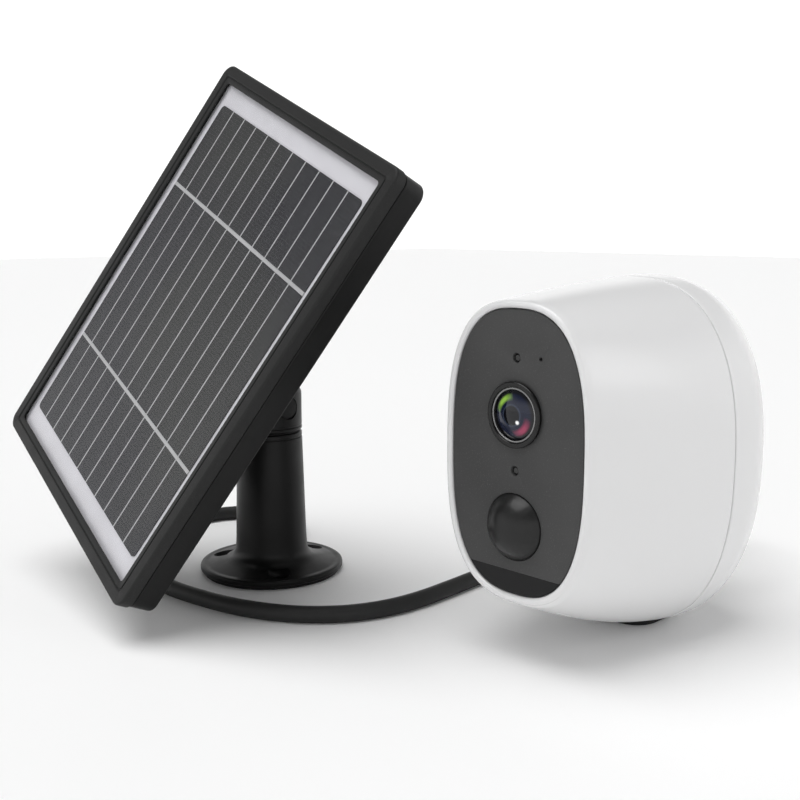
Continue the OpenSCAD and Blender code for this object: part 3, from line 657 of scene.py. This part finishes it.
def hexagon(across, chamfer, ends):
    """Radius of a hexagon nut whose corners are turned down at its ends."""
    def radius(r, a, h):
        if r < across / 2 - 0.3:
            return r
        flat = across / 2 / cos((a % (pi / 3)) - pi / 6)
        near = min(abs(h - e) for e in ends)
        return min(flat, across / 2 + chamfer * min(1.0, near / 0.5))
    return radius


def cross_recess(place, size, width, z0, z1):
    """Two crossed slots, as tools that cut a driver recess."""
    return [prism(place @ Matrix.Rotation(turn, 4, "Z"), rounded(size, width, 0.2, 2), z0, z1)
            for turn in (0, pi / 2)]


# ---------- front plate ----------


def plate_blank(front, back):
    """The whole front plate between two depths, with a soft front edge."""
    edge = 0.35
    rings = [plate_section(back, -0.02), plate_section(front + edge, -0.02)]
    rings += [plate_section(front + edge - edge * sin(t), -0.02 - edge * (1 - cos(t)))
              for t in steps(0, pi / 2, 5)[1:]]
    rings += [plate_section(front, -2.0)]
    return loft(rings)


def half_space(z0, z1):
    place = move((0, FRONT_Y, (z0 + z1) / 2)) @ turned(90, "X")
    return prism(place, rounded(60, z1 - z0, 0.01, 1), -6, 4)


def sink_hole(x, z, r, edge=0.25):
    """A round hole with a softened mouth, as a tool that cuts the front plate."""
    mouth = -PLATE_FRONT
    profile = [(r, mouth - 4), (r, mouth - edge)]
    profile += [(r + edge * (1 - cos(t)), mouth - edge + edge * sin(t)) for t in steps(0, pi / 2, 4)[1:]]
    profile += [(r + edge, mouth + 2)]
    return solid(*lathe(profile, front_place(x, z), 64))


def fascia():
    plate = make("fascia", *plate_blank(PLATE_FRONT, PLATE_FRONT + PLATE_T), "dark_plate")
    tools = [half_space(0, IR_TOP + WINDOW_JOINT), sink_hole(0, LENS_Z, 7.65), sink_hole(0, DOME_Z, 8.72),
             sink_hole(0, LIGHT_Z, 1.2), sink_hole(0, LED_Z, 1.2), sink_hole(MIC.x, MIC.y, 0.5, 0.12)]
    return refresh(combine(plate, tools))


def ir_window():
    window = make("ir_window", *plate_blank(PLATE_FRONT + 0.08, PLATE_FRONT + PLATE_T), "ir_filter")
    return refresh(combine(window, [half_space(IR_TOP - WINDOW_JOINT, 110)]))


def lens_parts():
    place = front_place(0, LENS_Z)
    bezel = [(7.6, -3.6), (7.6, -0.6)]
    bezel += arc(8.2, -0.35, 0.25, -90, 0, 3) + arc(7.95, 0.1, 0.5, 0, 90, 6)
    bezel += arc(7.4, 0.25, 0.35, 90, 180, 5) + [(7.05, -1.4), (6.0, -1.4), (6.0, -3.6)]
    make("lens_bezel", *lathe(bezel, place, 128, closed=True), "gloss_black",
         slot="black_plastic")
    ring = [(7.0, -1.4)] + arc(6.85, 0.05, 0.15, 0, 90, 4) + arc(6.62, 0.08, 0.12, 90, 180, 3)
    ring += [(6.45, -0.35), (6.45, -1.4)]
    make("lens_trim_ring", *lathe(ring, place, 128, closed=True), "silver_ring")
    cap, r = 12.0, 6.4
    rise = cap - sqrt(cap ** 2 - r ** 2)
    dome = [(0.02, -1.3), (r, -1.3)]
    dome += [(r * cos(t), sqrt(cap ** 2 - (r * cos(t)) ** 2) - cap - 0.6 + rise)
             for t in steps(0, pi / 2 - 0.01, 20)]
    make("lens_glass", *lathe(dome, place, 128), "coating", slot="lens_glass")


def motion_dome():
    rise, r = 5.0, 8.6
    ball = (r * r + rise * rise) / (2 * rise)
    profile = [(r + 1.4, -3.9), (r + 1.4, -2.9), (r, -2.9), (r, -PLATE_FRONT - 0.2)]
    top = atan2(r, ball - rise)
    for t in steps(top, 0.012, 40):
        profile.append((ball * sin(t), rise - ball + ball * cos(t) - PLATE_FRONT))

    def facets(radius, a, h):
        """Shallow lens segments: rings crossed by sectors."""
        if radius > 8.2 or radius < 1.6:
            return radius
        ring = radius / 1.75
        sectors = 6 * max(1, int(ring))
        across = abs(sin(a * sectors / 2 + int(ring) * 0.7))
        return radius * (1 - 0.004 * (1 - across) - 0.004 * abs(cos(pi * ring)))

    make("motion_dome", *lathe(profile, front_place(0, DOME_Z), 144, radius=facets),
         "dome_plastic", sharp=40)


def light_pipe(name, z):
    profile = [(1.1, -13), (1.1, -1.5)] + arc(0.55, -1.65, 0.55, 0, 85, 5)
    make(name, *lathe(profile, front_place(0, z), 32), "smoked", slot="light_pipe")


# ---------- rear of the camera unit ----------


def rear_panel():
    place = rear_place(0, PANEL_MID_Z)
    thick, w, h, edge = 1.6, 25.2, 41.2, 0.3
    profile = [(0, -thick), (0, -edge), (0.1, -0.1), (edge, 0), (1.6, 0), (1.9, -0.25), (4.0, -0.25)]
    rings = plate_rings(place, w, h, 5, profile, 10)
    panel = make("rear_panel", *loft(rings), "black_plastic")
    port, power, reset = (rear_place(0, z) for z in (PORT_Z, POWER_Z, RESET_Z))
    collar = [(5.2, -1.2), (6.6, -1.2), (6.6, -0.25)] + arc(6.3, 0.0, 0.25, 0, 90, 3)
    collar += arc(5.45, 0.0, 0.25, 90, 180, 3)
    ring = solid(*lathe(collar, port, 64, closed=True))
    combine(panel, [ring], "UNION")
    tools = [rod(port, 5.2, -5, 3, 64), rod(power, 4.06, -5, 3, 64),
             rod(power, 4.06, -0.6, 0.4, 64, r2=5.0),
             rod(reset, 1.56, -5, 3, 40),
             prism(rear_place(0, CARD_Z), rounded(11.6, 1.3, 0.3, 3), -5, 3)]
    return refresh(combine(panel, tools))


def rear_controls():
    power = [(5.2, -3.1), (5.2, -2.1), (4.0, -2.1), (4.0, 0.6)] + arc(3.6, 0.6, 0.4, 0, 90, 5)
    power += [(2.9, 0.97), (2.7, 0.85), (2.5, 0.85), (2.3, 0.95), (0.02, 0.80)]
    make("power_button", *lathe(power, rear_place(0, POWER_Z), 64), "gloss_black",
         body="power_key", slot="black_plastic")
    reset = [(2.4, -2.9), (2.4, -2.1), (1.5, -2.1), (1.5, -0.75)] + arc(1.3, -0.75, 0.2, 0, 90, 3)
    reset += [(0.02, -0.62)]
    make("reset_button", *lathe(reset, rear_place(0, RESET_Z), 40), "steel", body="reset_key")
    place = move((0, REAR_Y, CARD_Z))
    outline = [(-5.5, -15), (4.3, -15), (5.5, -13.4), (5.5, -6.2), (5.0, -5.6), (5.0, -4.8),
               (5.5, -4.2), (5.5, 0.1), (5.3, 0.3), (-5.3, 0.3), (-5.5, 0.1)]
    card = make("microsd_card", *loft([level(outline, z, place) for z in (-0.5, 0.35)]),
                "black_plastic", body="card")
    lip = solid(*loft([level([(-x, y), (x, y), (x, 0.28), (-x, 0.28)], z, place)
                            for x, y, z in ((5.3, -1.1, 0.2), (5.15, -0.9, 0.5))]))
    refresh(combine(card, [lip], "UNION"))


def tripod_insert():
    outer = [(5.25, 0.0), (5.4, 0.15), (5.4, 9.7), (0.05, 9.7)]
    bore = [(0.05, 8.2)] + [(INSERT_R, h) for h in steps(8.2, 0.35, 90)] + [(INSERT_R + 0.3, 0.0)]

    def inside(r, a, h):
        if abs(r - INSERT_R) > 0.05:
            return r
        return INSERT_R - 0.45 * abs(2 * ((h / THREAD_PITCH - a / (2 * pi)) % 1.0) - 1)

    make("tripod_insert", *lathe(outer + bore, Matrix.Identity(4), 72, closed=True,
                                      radius=inside), "brass", sharp=50)


def foot_pad():
    lo, hi = box("foot_pad")
    place = move((0, (lo.y + hi.y) / 2, 0))
    w, l = hi.x - lo.x, hi.y - lo.y
    profile = [(2.2, 0.25), (2.0, 0.0), (0.3, 0.0), (0.08, 0.08), (0, 0.3), (0, FOOT_Z)]
    rings = plate_rings(place, w, l, w / 2 - 0.1, profile, 16)
    pad = make("foot_pad", *loft(rings), "soft_rubber")
    return refresh(combine(pad, [rod(Matrix.Identity(4), FOOT_HOLE_R, -1, 3, 64)]))


# ---------- stand ----------

ON_STAND = move((STAND.x, STAND.y, 0))
OUTLET = (move((STAND.x, STAND.y, OUTLET_Z)) @ Matrix.Rotation(OUTLET_ANGLE, 4, "Z")
          @ turned(90, "Y"))
SCREW_PITCH, SCREW_R = 18.0, 2.1


def around_stand(height=0.0):
    """Places of the three screw holes."""
    return [ON_STAND @ turned(90 + 120 * i, "Z")
            @ move((SCREW_PITCH, 0, height)) for i in range(3)]


def stand_base():
    outer = [(7.8, PAD_T), (23.1, PAD_T)] + arc(23.1, 1.6, 0.4, -90, 0, 4) + arc(22.7, 2.3, 0.8, 0, 76, 7)
    # the flange rises as a shallow cone and sweeps up into the column
    outer += [(22.0, 3.15), (21.4, 3.02), (20.6, 3.2), (18, 3.72), (15.6, 4.25)]
    outer += [(14.2, 4.72), (13.2, 5.3), (12.5, 6.1), (12.05, 7.1), (11.78, 8.4)]
    taper = (COLUMN_R - COLUMN_TOP_R) / (COLUMN_TOP - 8)
    outer += [(COLUMN_R - taper * (z - 8), z) for z in steps(12, COLUMN_TOP - 2.2, 6)]
    r = COLUMN_TOP_R
    outer += [(r, COLUMN_TOP - 1.9), (r - 0.35, COLUMN_TOP - 1.75), (r - 0.35, COLUMN_TOP - 1.45),
              (r, COLUMN_TOP - 1.3)] + arc(r - 0.5, COLUMN_TOP - 0.5, 0.5, 0, 90, 4)
    bore = SPIGOT_R + CLEARANCE
    outer += [(bore, COLUMN_TOP), (bore, SPIGOT_LOW), (7.8, SPIGOT_LOW)]
    base = make("stand_base", *lathe(outer, ON_STAND, 144, closed=True), "black_plastic", sharp=28)
    rings = []
    for inset, z in ((0.0, 10.0), (0.0, 23.6), (0.25, 24.2), (0.8, 24.5)):
        side, crown = 2.6 - inset, 8.0 - OUTLET_Z - 2.4 - inset
        outline = [(-side - 2.4, PAD_T + 0.01 - OUTLET_Z), (side + 2.4, PAD_T + 0.01 - OUTLET_Z)]
        outline += arc(side, crown, 2.4, 0, 90, 6) + arc(-side, crown, 2.4, 90, 180, 6)
        rings.append(placed([(-up, across, z) for across, up in outline], OUTLET))
    combine(base, [solid(*loft(rings))], "UNION")
    tools = [rod(place, SCREW_R, -1, 12, 40) for place in around_stand()]
    tools += [rod(place, SCREW_R, 2.2, 4.4, 40, r2=4.3) for place in around_stand()]
    tools += [rod(OUTLET, 2.6, 5, 30, 40)]
    return refresh(combine(base, tools), 28)


def stand_pad():
    profile = [(8.0, 0.1), (8.1, 0.0), (22.3, 0.0), (22.5, 0.2), (22.5, PAD_T), (8.0, PAD_T)]
    pad = make("stand_pad", *lathe(profile, ON_STAND, 128, closed=True), "soft_rubber")
    return refresh(combine(pad, [rod(place, SCREW_R + 0.6, -1, 4, 40) for place in around_stand()]))


def friction_washer():
    r, low, high = COLUMN_TOP_R - 0.7, COLUMN_TOP, HEAD_LOW - 0.05
    profile = [(5.3, low), (r - 0.15, low)] + arc(r - 0.3, (low + high) / 2, 0.3, -80, 80, 5)
    profile += [(r - 0.15, high), (5.3, high)]
    make("friction_washer", *lathe(profile, ON_STAND, 96, closed=True), "soft_rubber")


def relief(r0, z0, r1, z1, ribs):
    """Profile of a tapered, ribbed strain relief between two (radius, height) ends."""
    profile = []
    for i in range(ribs):
        for f, dip in ((0.0, 0.0), (0.10, 0.0), (0.16, 0.0), (0.58, 0.0), (0.64, 0.32), (0.94, 0.32)):
            t = (i + f) / ribs
            profile.append((r0 + (r1 - r0) * t - dip, z0 + (z1 - z0) * t))
    profile += [(r1, z1 - 0.25), (r1 - 0.25, z1)]
    return profile


def cord_outlet():
    profile = [(2.5, 20.0), (2.5, 24.5), (3.8, 24.5), (4.0, 24.7), (4.0, 26.2), (3.8, 26.4)]
    profile += relief(3.75, 26.6, 2.9, OUTLET_END, 6)
    return make("cord_outlet", *lathe(profile, OUTLET, 48), "cord_rubber", sharp=30)


BOLT_LINE = move(PIVOT) @ turned(90, "Y")


def swivel_head():
    r, low, top = COLUMN_TOP_R, HEAD_LOW, HEAD_TOP
    outer = [(0.05, low), (r - 0.5, low)] + arc(r - 0.5, low + 0.5, 0.5, -90, 0, 4)[1:]
    outer += [(r, low + 1.0), (r - 0.3, low + 1.15), (r - 0.3, low + 1.5), (r, low + 1.65)]
    outer += [(r, top - 3.0)] + arc(r - 2.6, top - 2.6, 2.6, 0, 90, 10)[1:] + [(0.05, top)]
    head = make("swivel_head", *lathe(outer, ON_STAND, 128), "black_plastic", body="swivel", sharp=30)
    combine(head, [rod(ON_STAND, SPIGOT_R, SPIGOT_LOW - 0.3, low + 1, 64)], "UNION")
    slot_place = move(PIVOT) @ turned(90, "X")
    half, floor = KNUCKLE_T / 2 + 0.1, -KNUCKLE_R - 0.3
    rise = top - PIVOT.z
    mouth = [(-half, floor), (half, floor), (half, rise - 0.6), (half + 0.7, rise + 0.1),
             (half + 0.7, 20), (-half - 0.7, 20), (-half - 0.7, rise + 0.1), (-half, rise - 0.6)]
    tools = [prism(slot_place, mouth, -20, 20), rod(BOLT_LINE, BOLT_R, -20, 20, 40),
             rod(BOLT_LINE, 3.65, 8, 18, 64), rod(BOLT_LINE, 3.9, -18, -8, 48),
             rod(ON_STAND, 2.0, 30, 60, 40)]
    return refresh(combine(head, tools), 30)


def tilt_hardware():
    bolt = [(0.05, -9.5), (BOLT_R - 0.2, -9.5), (BOLT_R, -9.3), (BOLT_R, 8.0), (3.6, 8.0), (3.6, 8.9)]
    bolt += [(3.6, 9.8), (3.45, 9.95), (3.2, 10.0), (0.05, 10.0)]
    make("tilt_bolt", *lathe(bolt, BOLT_LINE, 64), "black_plastic", body="swivel",
         slot="black_metal")
    away = move(PIVOT) @ turned(-90, "Y")
    bore = BOLT_R + 0.02
    nut = [(bore, 8.0)] + [(3.6, z) for z in (8.0, 8.25, 8.5, 9.1, 9.35, 9.6)] + [(2.3, 9.6), (bore, 9.35)]
    make("tilt_nut", *lathe(nut, away, 72, closed=True, radius=hexagon(6.2, 0.12, (8.0, 9.6))),
         "black_metal", body="swivel", sharp=25)


STUD = tilt_frame() @ turned(90, "X")


def knuckle():
    across = tilt_frame() @ turned(90, "Y")
    half, r = KNUCKLE_T / 2, KNUCKLE_R
    eye = [(0.05, -half), (r - 0.6, -half)] + arc(r - 0.6, 0.6 - half, 0.6, -90, 0, 5)[1:]
    eye += arc(r - 0.6, half - 0.6, 0.6, 0, 90, 5) + [(0.05, half)]
    piece = make("knuckle", *lathe(eye, across, 96), "black_plastic", body="tilter", sharp=30)
    arm = solid(*loft([level(rounded(w, w, c, 6), z, STUD) for w, c, z in
                            ((7.9, 1.2, 0), (7.9, 1.2, 11.6), (8.6, 2.4, 12.5), (10.4, 4.4, 13.1))]))
    collar = [(0.05, 12.9), (6.5, 12.9)] + arc(6.5, 13.4, 0.5, -90, 0, 4)[1:]
    collar += arc(6.5, 16.0, 0.5, 0, 90, 4) + [(0.05, 16.5)]
    combine(piece, [arm], "UNION")
    combine(piece, [solid(*lathe(collar, STUD, 96))], "UNION")
    tools = [rod(across, BOLT_R + CLEARANCE, -10, 10, 40), rod(STUD, INSERT_R, 9, 20, 48)]
    return refresh(combine(piece, tools), 30)


def stud():
    profile = [(1.1, 9.0), (INSERT_R - 0.1, 9.0)]
    profile += [(INSERT_R, z) for z in steps(9.2, 34.6, 190)]
    profile += [(INSERT_R - 0.4, 35.0), (1.1, 35.0)]
    turn = thread(THREAD_PITCH, 0.5, 16.0, 34.6)

    def radius(r, a, h):
        return turn(r, a, h) if r > INSERT_R - 0.05 else r

    make("stud", *lathe(profile, STUD, 48, closed=True, radius=radius), "black_metal",
         body="tilter", sharp=50)


def lock_nut():
    profile = [(INSERT_R + 0.02, 24.5), (8.2, 24.5), (8.7, 24.7), (9.0, 25.2), (9.0, 28.3), (8.7, 28.8),
               (8.2, 29.0), (INSERT_R + 0.02, 29.0)]

    def scallops(r, a, h):
        if r < 8:
            return r
        dip = max(0.0, 1 - (((a / (2 * pi) * 12 + 0.5) % 1.0 - 0.5) * 2 * pi * 9 / 12 / 1.25) ** 2)
        return r - 0.75 * sqrt(dip)

    make("lock_nut", *lathe(profile, STUD, 240, closed=True, radius=scallops), "black_plastic",
         body="tilter", sharp=28)


# ---------- solar panel ----------

# Drawn in the panel's plane: x across, y along it, z = distance in front of the tilt axis
PANEL = panel_frame_matrix() @ turned(90, "X")
TRAY_BACK = REACH - PANEL_T
POSTS = [(x * (PANEL_W / 2 - 8), z * (PANEL_L / 2 - 8)) for x in (-1, 1) for z in (-1, 1)]


def panel_ring(w, h, r, d, count=8):
    return level(rounded(w, h, r, count), d, PANEL)


def panel_frame():
    edge = 0.7
    rim = [(0.15, REACH - 3.6), (0.0, REACH - 3.4), (0.0, REACH - edge)]
    rim += [(edge * (1 - cos(t)), REACH - edge + edge * sin(t)) for t in steps(0, pi / 2, 6)[1:]]
    rim += [(3.3, REACH), (3.5, REACH - 0.12), (3.65, REACH - 0.42), (4.0, REACH - 0.42),
            (4.15, REACH - 0.15), (5.2, REACH - 0.2), (BEZEL_W, REACH - 0.35),
            (BEZEL_W, REACH - LIP_T + 0.02), (4.3, REACH - LIP_T + 0.02), (4.3, REACH - 3.6)]
    rings = [panel_ring(PANEL_W - 2 * i, PANEL_L - 2 * i, max(4 - i, 1.0) if i < 4.2 else 1.2, d, 10)
             for i, d in rim]
    make("panel_frame", *loft(rings, closed=True), "frame_plastic", body="panel", sharp=25)


def plate_stack(name, w, h, r, d0, d1, edge, look):
    """A thin round-cornered plate with softened edges."""
    rings = [panel_ring(w - 2 * i, h - 2 * i, r, d, 8)
             for i, d in ((edge, d0), (0, d0 + edge), (0, d1 - edge), (edge, d1))]
    return make(name, *loft(rings), look, body="panel")


GLASS_W, GLASS_L = PANEL_W - 2 * BEZEL_W + 2.2, PANEL_L - 2 * BEZEL_W + 2.2
CELLS_W, CELLS_L = PANEL_W - 2 * BEZEL_W - 5.8, PANEL_L - 2 * BEZEL_W - 12.8
STRIP_W = (CELLS_W - (STRIPS - 1) * STRIP_GAP) / STRIPS
CUTS = [-CELLS_L / 2, -CELLS_L / 4, CELLS_L / 4, CELLS_L / 2]


def cell_spans():
    """Where each of the three sections of a strip starts and ends, between the busbars."""
    return [(CUTS[k] + (BUS_W / 2 if k else 0), CUTS[k + 1] - (BUS_W / 2 if k < 2 else 0))
            for k in range(3)]


def solar_cells():
    parts = []
    for i in range(STRIPS):
        x0 = -CELLS_W / 2 + i * (STRIP_W + STRIP_GAP)
        x1 = x0 + STRIP_W
        for k, (y0, y1) in enumerate(cell_spans()):
            corner = 1.6
            outline = []
            for x, y, sx, sy, start in ((x1, y1, 1, 1, 0), (x0, y1, -1, 1, 90),
                                        (x0, y0, -1, -1, 180), (x1, y0, 1, -1, 270)):
                at_end = k == (2 if sy > 0 else 0)
                if at_end and i == (STRIPS - 1 if sx > 0 else 0):
                    outline += arc(x - sx * corner, y - sy * corner, corner, start, start + 90, 5)
                elif at_end and i == NOTCHED_STRIP and sx > 0:
                    points = [(x - 0.45, y), (x - 0.4, y - sy * 2.6), (x, y - sy * 3.4)]
                    outline += points if sy < 0 else points[::-1]
                else:
                    outline.append((x, y))
            parts.append(loft([level(outline, d, PANEL) for d in (CELL_LOW, CELL_HIGH)]))
    make("solar_cells", *together(parts), "silicon", body="panel", sharp=20)


def busbars():
    """The two wide ribbons, and the light lines between the strips, level with the cells."""
    w = BUS_W - 0.1
    profile = [(-w / 2, CELL_LOW), (w / 2, CELL_LOW), (w / 2, CELL_HIGH - 0.04),
               (w / 2 - 0.2, CELL_HIGH + 0.03), (0.2 - w / 2, CELL_HIGH + 0.03),
               (-w / 2, CELL_HIGH - 0.04)]
    parts = [loft([placed([(x, y + dy, d) for dy, d in profile], PANEL)
                        for x in (-CELLS_W / 2, CELLS_W / 2)]) for y in CUTS[1:3]]
    side = 0.02
    for i in range(STRIPS - 1):
        x0 = -CELLS_W / 2 + (i + 1) * STRIP_W + i * STRIP_GAP + side
        x1 = x0 + STRIP_GAP - 2 * side
        for y0, y1 in cell_spans():
            line = [(x0, y0), (x1, y0), (x1, y1), (x0, y1)]
            parts.append(loft([level(line, d, PANEL) for d in (CELL_LOW, CELL_HIGH + 0.01)]))
    make("busbars", *together(parts), "ribbon", body="panel", sharp=30)


def panel_gasket():
    rings = [panel_ring(PANEL_W - 2.6 - 2 * i, PANEL_L - 2.6 - 2 * i, 3, d)
             for i, d in ((0, REACH - 4.1), (0, REACH - 3.6), (3.4, REACH - 3.6), (3.4, REACH - 4.1))]
    make("panel_gasket", *loft(rings, closed=True), "soft_rubber", body="panel")


def panel_tray():
    w, h = PANEL_W - 2 * TRAY_INSET, PANEL_L - 2 * TRAY_INSET
    back, front, corner = TRAY_BACK, REACH - 4.1, TRAY_CORNER
    edge = 0.6
    profile = [(13.6, back + 0.5), (12.6, back + 0.5), (12.2, back + 0.25), (11.8, back),
               (3.0, back), (2.6, back + 0.02)]
    profile += [(edge * (1 - sin(t)), back + edge * (1 - cos(t))) for t in steps(0.1, pi / 2, 6)]
    profile += [(0, front - 0.3), (0.2, front), (2.2, front), (2.2, back + 2.2)]
    rings = plate_rings(PANEL, w, h, corner, profile, 12)
    tray = make("panel_tray", *loft(rings), "black_plastic", body="panel", sharp=28)
    boss = [(0.05, 30.0), (10.3, 30.0)] + arc(10.3, 30.7, 0.7, -90, 0, 5)[1:]
    boss += [(11.0, back - 1.0), (11.2, back - 0.35), (11.8, back + 0.3), (11.8, back + 1.2),
             (0.05, back + 1.2)]
    joined = [solid(*lathe(boss, STUD, 96))]
    # three bars that cross at the boss make its six stiffening ribs
    for angle in (0, 60, 120):
        rib = PANEL @ move((0, -RISE, 0)) @ turned(angle, "Z")
        rings = [level(rounded(50 - i, 2.4 - i, 1, 4), z, rib)
                 for i, z in ((1.2, back - 0.55), (0.0, back - 0.2), (0, back + 1.0))]
        joined.append(solid(*loft(rings)))
    for tool in joined:
        combine(tray, [tool], "UNION")
    tools = []
    for x, y in POSTS:
        post = PANEL @ move((x, y, 0))
        tools += [rod(post, 1.6, back - 1, back + 7, 24), rod(post, 3.0, back - 1, back + 1.2, 40)]
    tools += [rod(STUD, 5.0, 29, back + 2.9, 48)]
    return refresh(combine(tray, tools), 28)


def panel_screws():
    head = [(r, TRAY_BACK + h) for r, h in ((0.05, 5.6), (1.5, 5.4), (1.5, 1.2), (2.7, 1.2), (2.7, 0.5),
                                            (2.3, 0.05), (1.6, -0.12), (0.05, -0.2))]
    parts = [lathe(head, PANEL @ move((x, y, 0)), 40) for x, y in POSTS]
    screws = make("panel_screws", *together(parts), "steel", body="panel")
    tools = []
    for k, (x, y) in enumerate(POSTS):
        post = PANEL @ move((x, y, 0)) @ Matrix.Rotation(0.5 * k, 4, "Z")
        tools += cross_recess(post, 3.0, 0.7, TRAY_BACK - 1, TRAY_BACK + 0.7)
    return refresh(combine(screws, tools))


# ---------- cord ----------

# The cord's route, from the stand's outlet to the camera unit's plug, as in the CAD design
ROUTE = [
    (STAND.x + OUTLET_END * cos(OUTLET_ANGLE), STAND.y + OUTLET_END * sin(OUTLET_ANGLE), OUTLET_Z),
    (-142.5, -15, 3.6), (-151, -13, 2.8), (-160, -15, 2.5), (-167, -20.5, 2.5), (-171.5, -28.5, 2.5),
    (-173.5, -40, 2.5), (-173.5, -52, 2.5), (-171, -63, 2.5), (-165.5, -73, 2.5), (-156.5, -80.5, 2.5),
    (-145, -86, 2.5), (-132.5, -89, 2.5), (-119.5, -90.2, 2.5), (-106, -90, 2.5), (-94, -88.5, 2.5),
    (-83, -86, 2.5), (-72, -81.5, 2.5), (-62.5, -75, 2.5), (-55, -66, 2.5), (-50.5, -55, 2.5),
    (-49, -43, 2.5), (-49.5, -30, 2.5), (-50.5, -16, 2.5), (-51.5, -2, 2.5), (-52, 12, 2.5),
    (-52, 26, 2.6), (-52, 40, 3.4), (-51, 53, 5.6), (-46.5, 65, 9.6), (-38.5, 74.5, 15),
    (-27.5, 79, 21), (-16.5, 77, 26.5), (-7.5, 70.5, 31), (-1.8, 62, 33.4), (0, PLUG_END, PORT_Z),
]


def smooth_line(points, count):
    """Points of a curve that passes softly through the given ones."""
    line = []
    padded = [points[0] * 2 - points[1]] + points + [points[-1] * 2 - points[-2]]
    for a, b, c, d in zip(padded, padded[1:], padded[2:], padded[3:]):
        for t in steps(0, 1, count)[:-1]:
            line.append(0.5 * (2 * b + (c - a) * t + (2 * a - 5 * b + 4 * c - d) * t * t
                               + (3 * b - a - 3 * c + d) * t ** 3))
    return line + [points[-1]]


def cord_plug():
    start = REAR_Y - 1.4
    place = move((0, start, PORT_Z)) @ turned(-90, "X")
    profile = [(0.05, 0), (4.9, 0), (5.1, 0.2), (5.1, 3.6), (4.7, 3.9), (4.7, 4.3), (5.2, 4.6)]
    profile += arc(5.1, 5.1, 0.5, -45, 0, 3)
    for z in steps(7.0, 11.8, 4):
        profile += [(5.6, z - 0.45), (5.25, z - 0.25), (5.25, z + 0.25), (5.6, z + 0.45)]
    profile += [(5.6, 13.6)] + arc(4.8, 13.7, 0.8, 0, 80, 5) + [(4.5, 14.7)]
    profile += relief(4.4, 15.2, 2.9, PLUG_END - start, 7)
    profile += [(0.05, PLUG_END - start)]
    return make("cord_plug", *lathe(profile, place, 72), "cord_rubber", sharp=30)


def cord():
    data = bpy.data.curves.new("cord", "CURVE")
    data.dimensions = "3D"
    line = smooth_line([Vector(p) for p in ROUTE], 6)
    spline = data.splines.new("POLY")
    spline.points.add(len(line) - 1)
    for point, place in zip(spline.points, line):
        point.co = (*(place * MM), 1)
    data.bevel_depth = CORD_D / 2 * MM
    data.bevel_resolution = 6
    data.use_fill_caps = True
    data.materials.append(M["cord_rubber"])
    piece = bpy.data.objects.new("cord", data)
    bpy.context.scene.collection.objects.link(piece)
    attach(piece, "base")
    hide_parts("cord_tube")
    cord_plug()


# ---------- making it all ----------

for build in (cord, cord_outlet, front_shell, rear_cover, shell_gasket, fascia, ir_window, lens_parts,
              motion_dome, rear_panel, rear_controls, tripod_insert, foot_pad, stand_base, stand_pad,
              friction_washer, swivel_head, tilt_hardware, knuckle, stud, lock_nut, panel_frame,
              solar_cells, busbars, panel_gasket, panel_tray, panel_screws):
    build()
light_pipe("light_sensor", LIGHT_Z)
light_pipe("status_light", LED_Z)
plate_stack("panel_glass", GLASS_W, GLASS_L, SHEET_R, REACH - 1.4, REACH - LIP_T - 0.02, 0.1, "clear_glass")
plate_stack("backsheet", GLASS_W, GLASS_L, SHEET_R, REACH - 3.55, CELL_LOW - 0.01, 0.1, "backing")

# every CAD node takes the material of its slot; the ones that are not replaced show it
for part in frame["record"]["subparts"]:
    piece = nodes[part["node"]]
    piece.data.materials.clear()
    piece.data.materials.append(M[part["material_slot"]])

# ---------- floor and light ----------

floor_data = bpy.data.meshes.new("floor")
floor_data.from_pydata([(-3, -3, 0), (3, -3, 0), (3, 3, 0), (-3, 3, 0)], [], [(0, 1, 2, 3)])
floor = bpy.data.objects.new("floor", floor_data)
floor_look = Look("floor", rgb(0.93), 0.6)
floor_look.rough(400, 0.55, 0.7)
floor_data.materials.append(floor_look.material)
bpy.context.scene.collection.objects.link(floor)

# a bright band at the height of the horizon, and a softer sky over it
world = bpy.data.worlds.new("studio")
world.use_nodes = True
tree = world.node_tree
ray = tree.nodes.new("ShaderNodeTexCoord")
height = tree.nodes.new("ShaderNodeSeparateXYZ")
sky = tree.nodes.new("ShaderNodeMapRange")
sky.interpolation_type = "SMOOTHSTEP"
for key, number in (("From Min", 0.24), ("From Max", 0.55), ("To Min", 1.15), ("To Max", 0.22)):
    sky.inputs[key].default_value = number
tree.links.new(ray.outputs["Generated"], height.inputs[0])
tree.links.new(height.outputs["Z"], sky.inputs["Value"])
tree.links.new(sky.outputs["Result"], tree.nodes["Background"].inputs["Strength"])
tree.nodes["Background"].inputs["Color"].default_value = (1, 1, 1, 1)
bpy.context.scene.world = world
bpy.context.scene.view_settings.view_transform = "Standard"


def soft_light(name, at, aim, size, power):
    """A square area light that faces a point."""
    data = bpy.data.lights.new(name, "AREA")
    data.size = size
    data.energy = power
    light = bpy.data.objects.new(name, data)
    light.location = at
    light.rotation_euler = (Vector(aim) - light.location).to_track_quat("-Z", "Y").to_euler()
    bpy.context.scene.collection.objects.link(light)


overhead = bpy.data.lights.new("overhead", "SUN")
overhead.energy = 2.2
overhead.angle = radians(50)
overhead_light = bpy.data.objects.new("overhead", overhead)
overhead_light.rotation_euler = Vector((0.12, 0.25, -1)).to_track_quat("-Z", "Y").to_euler()
bpy.context.scene.collection.objects.link(overhead_light)
soft_light("side", (0.55, 0.25, 0.32), (0.0, -0.01, 0.06), 0.3, 0.35)
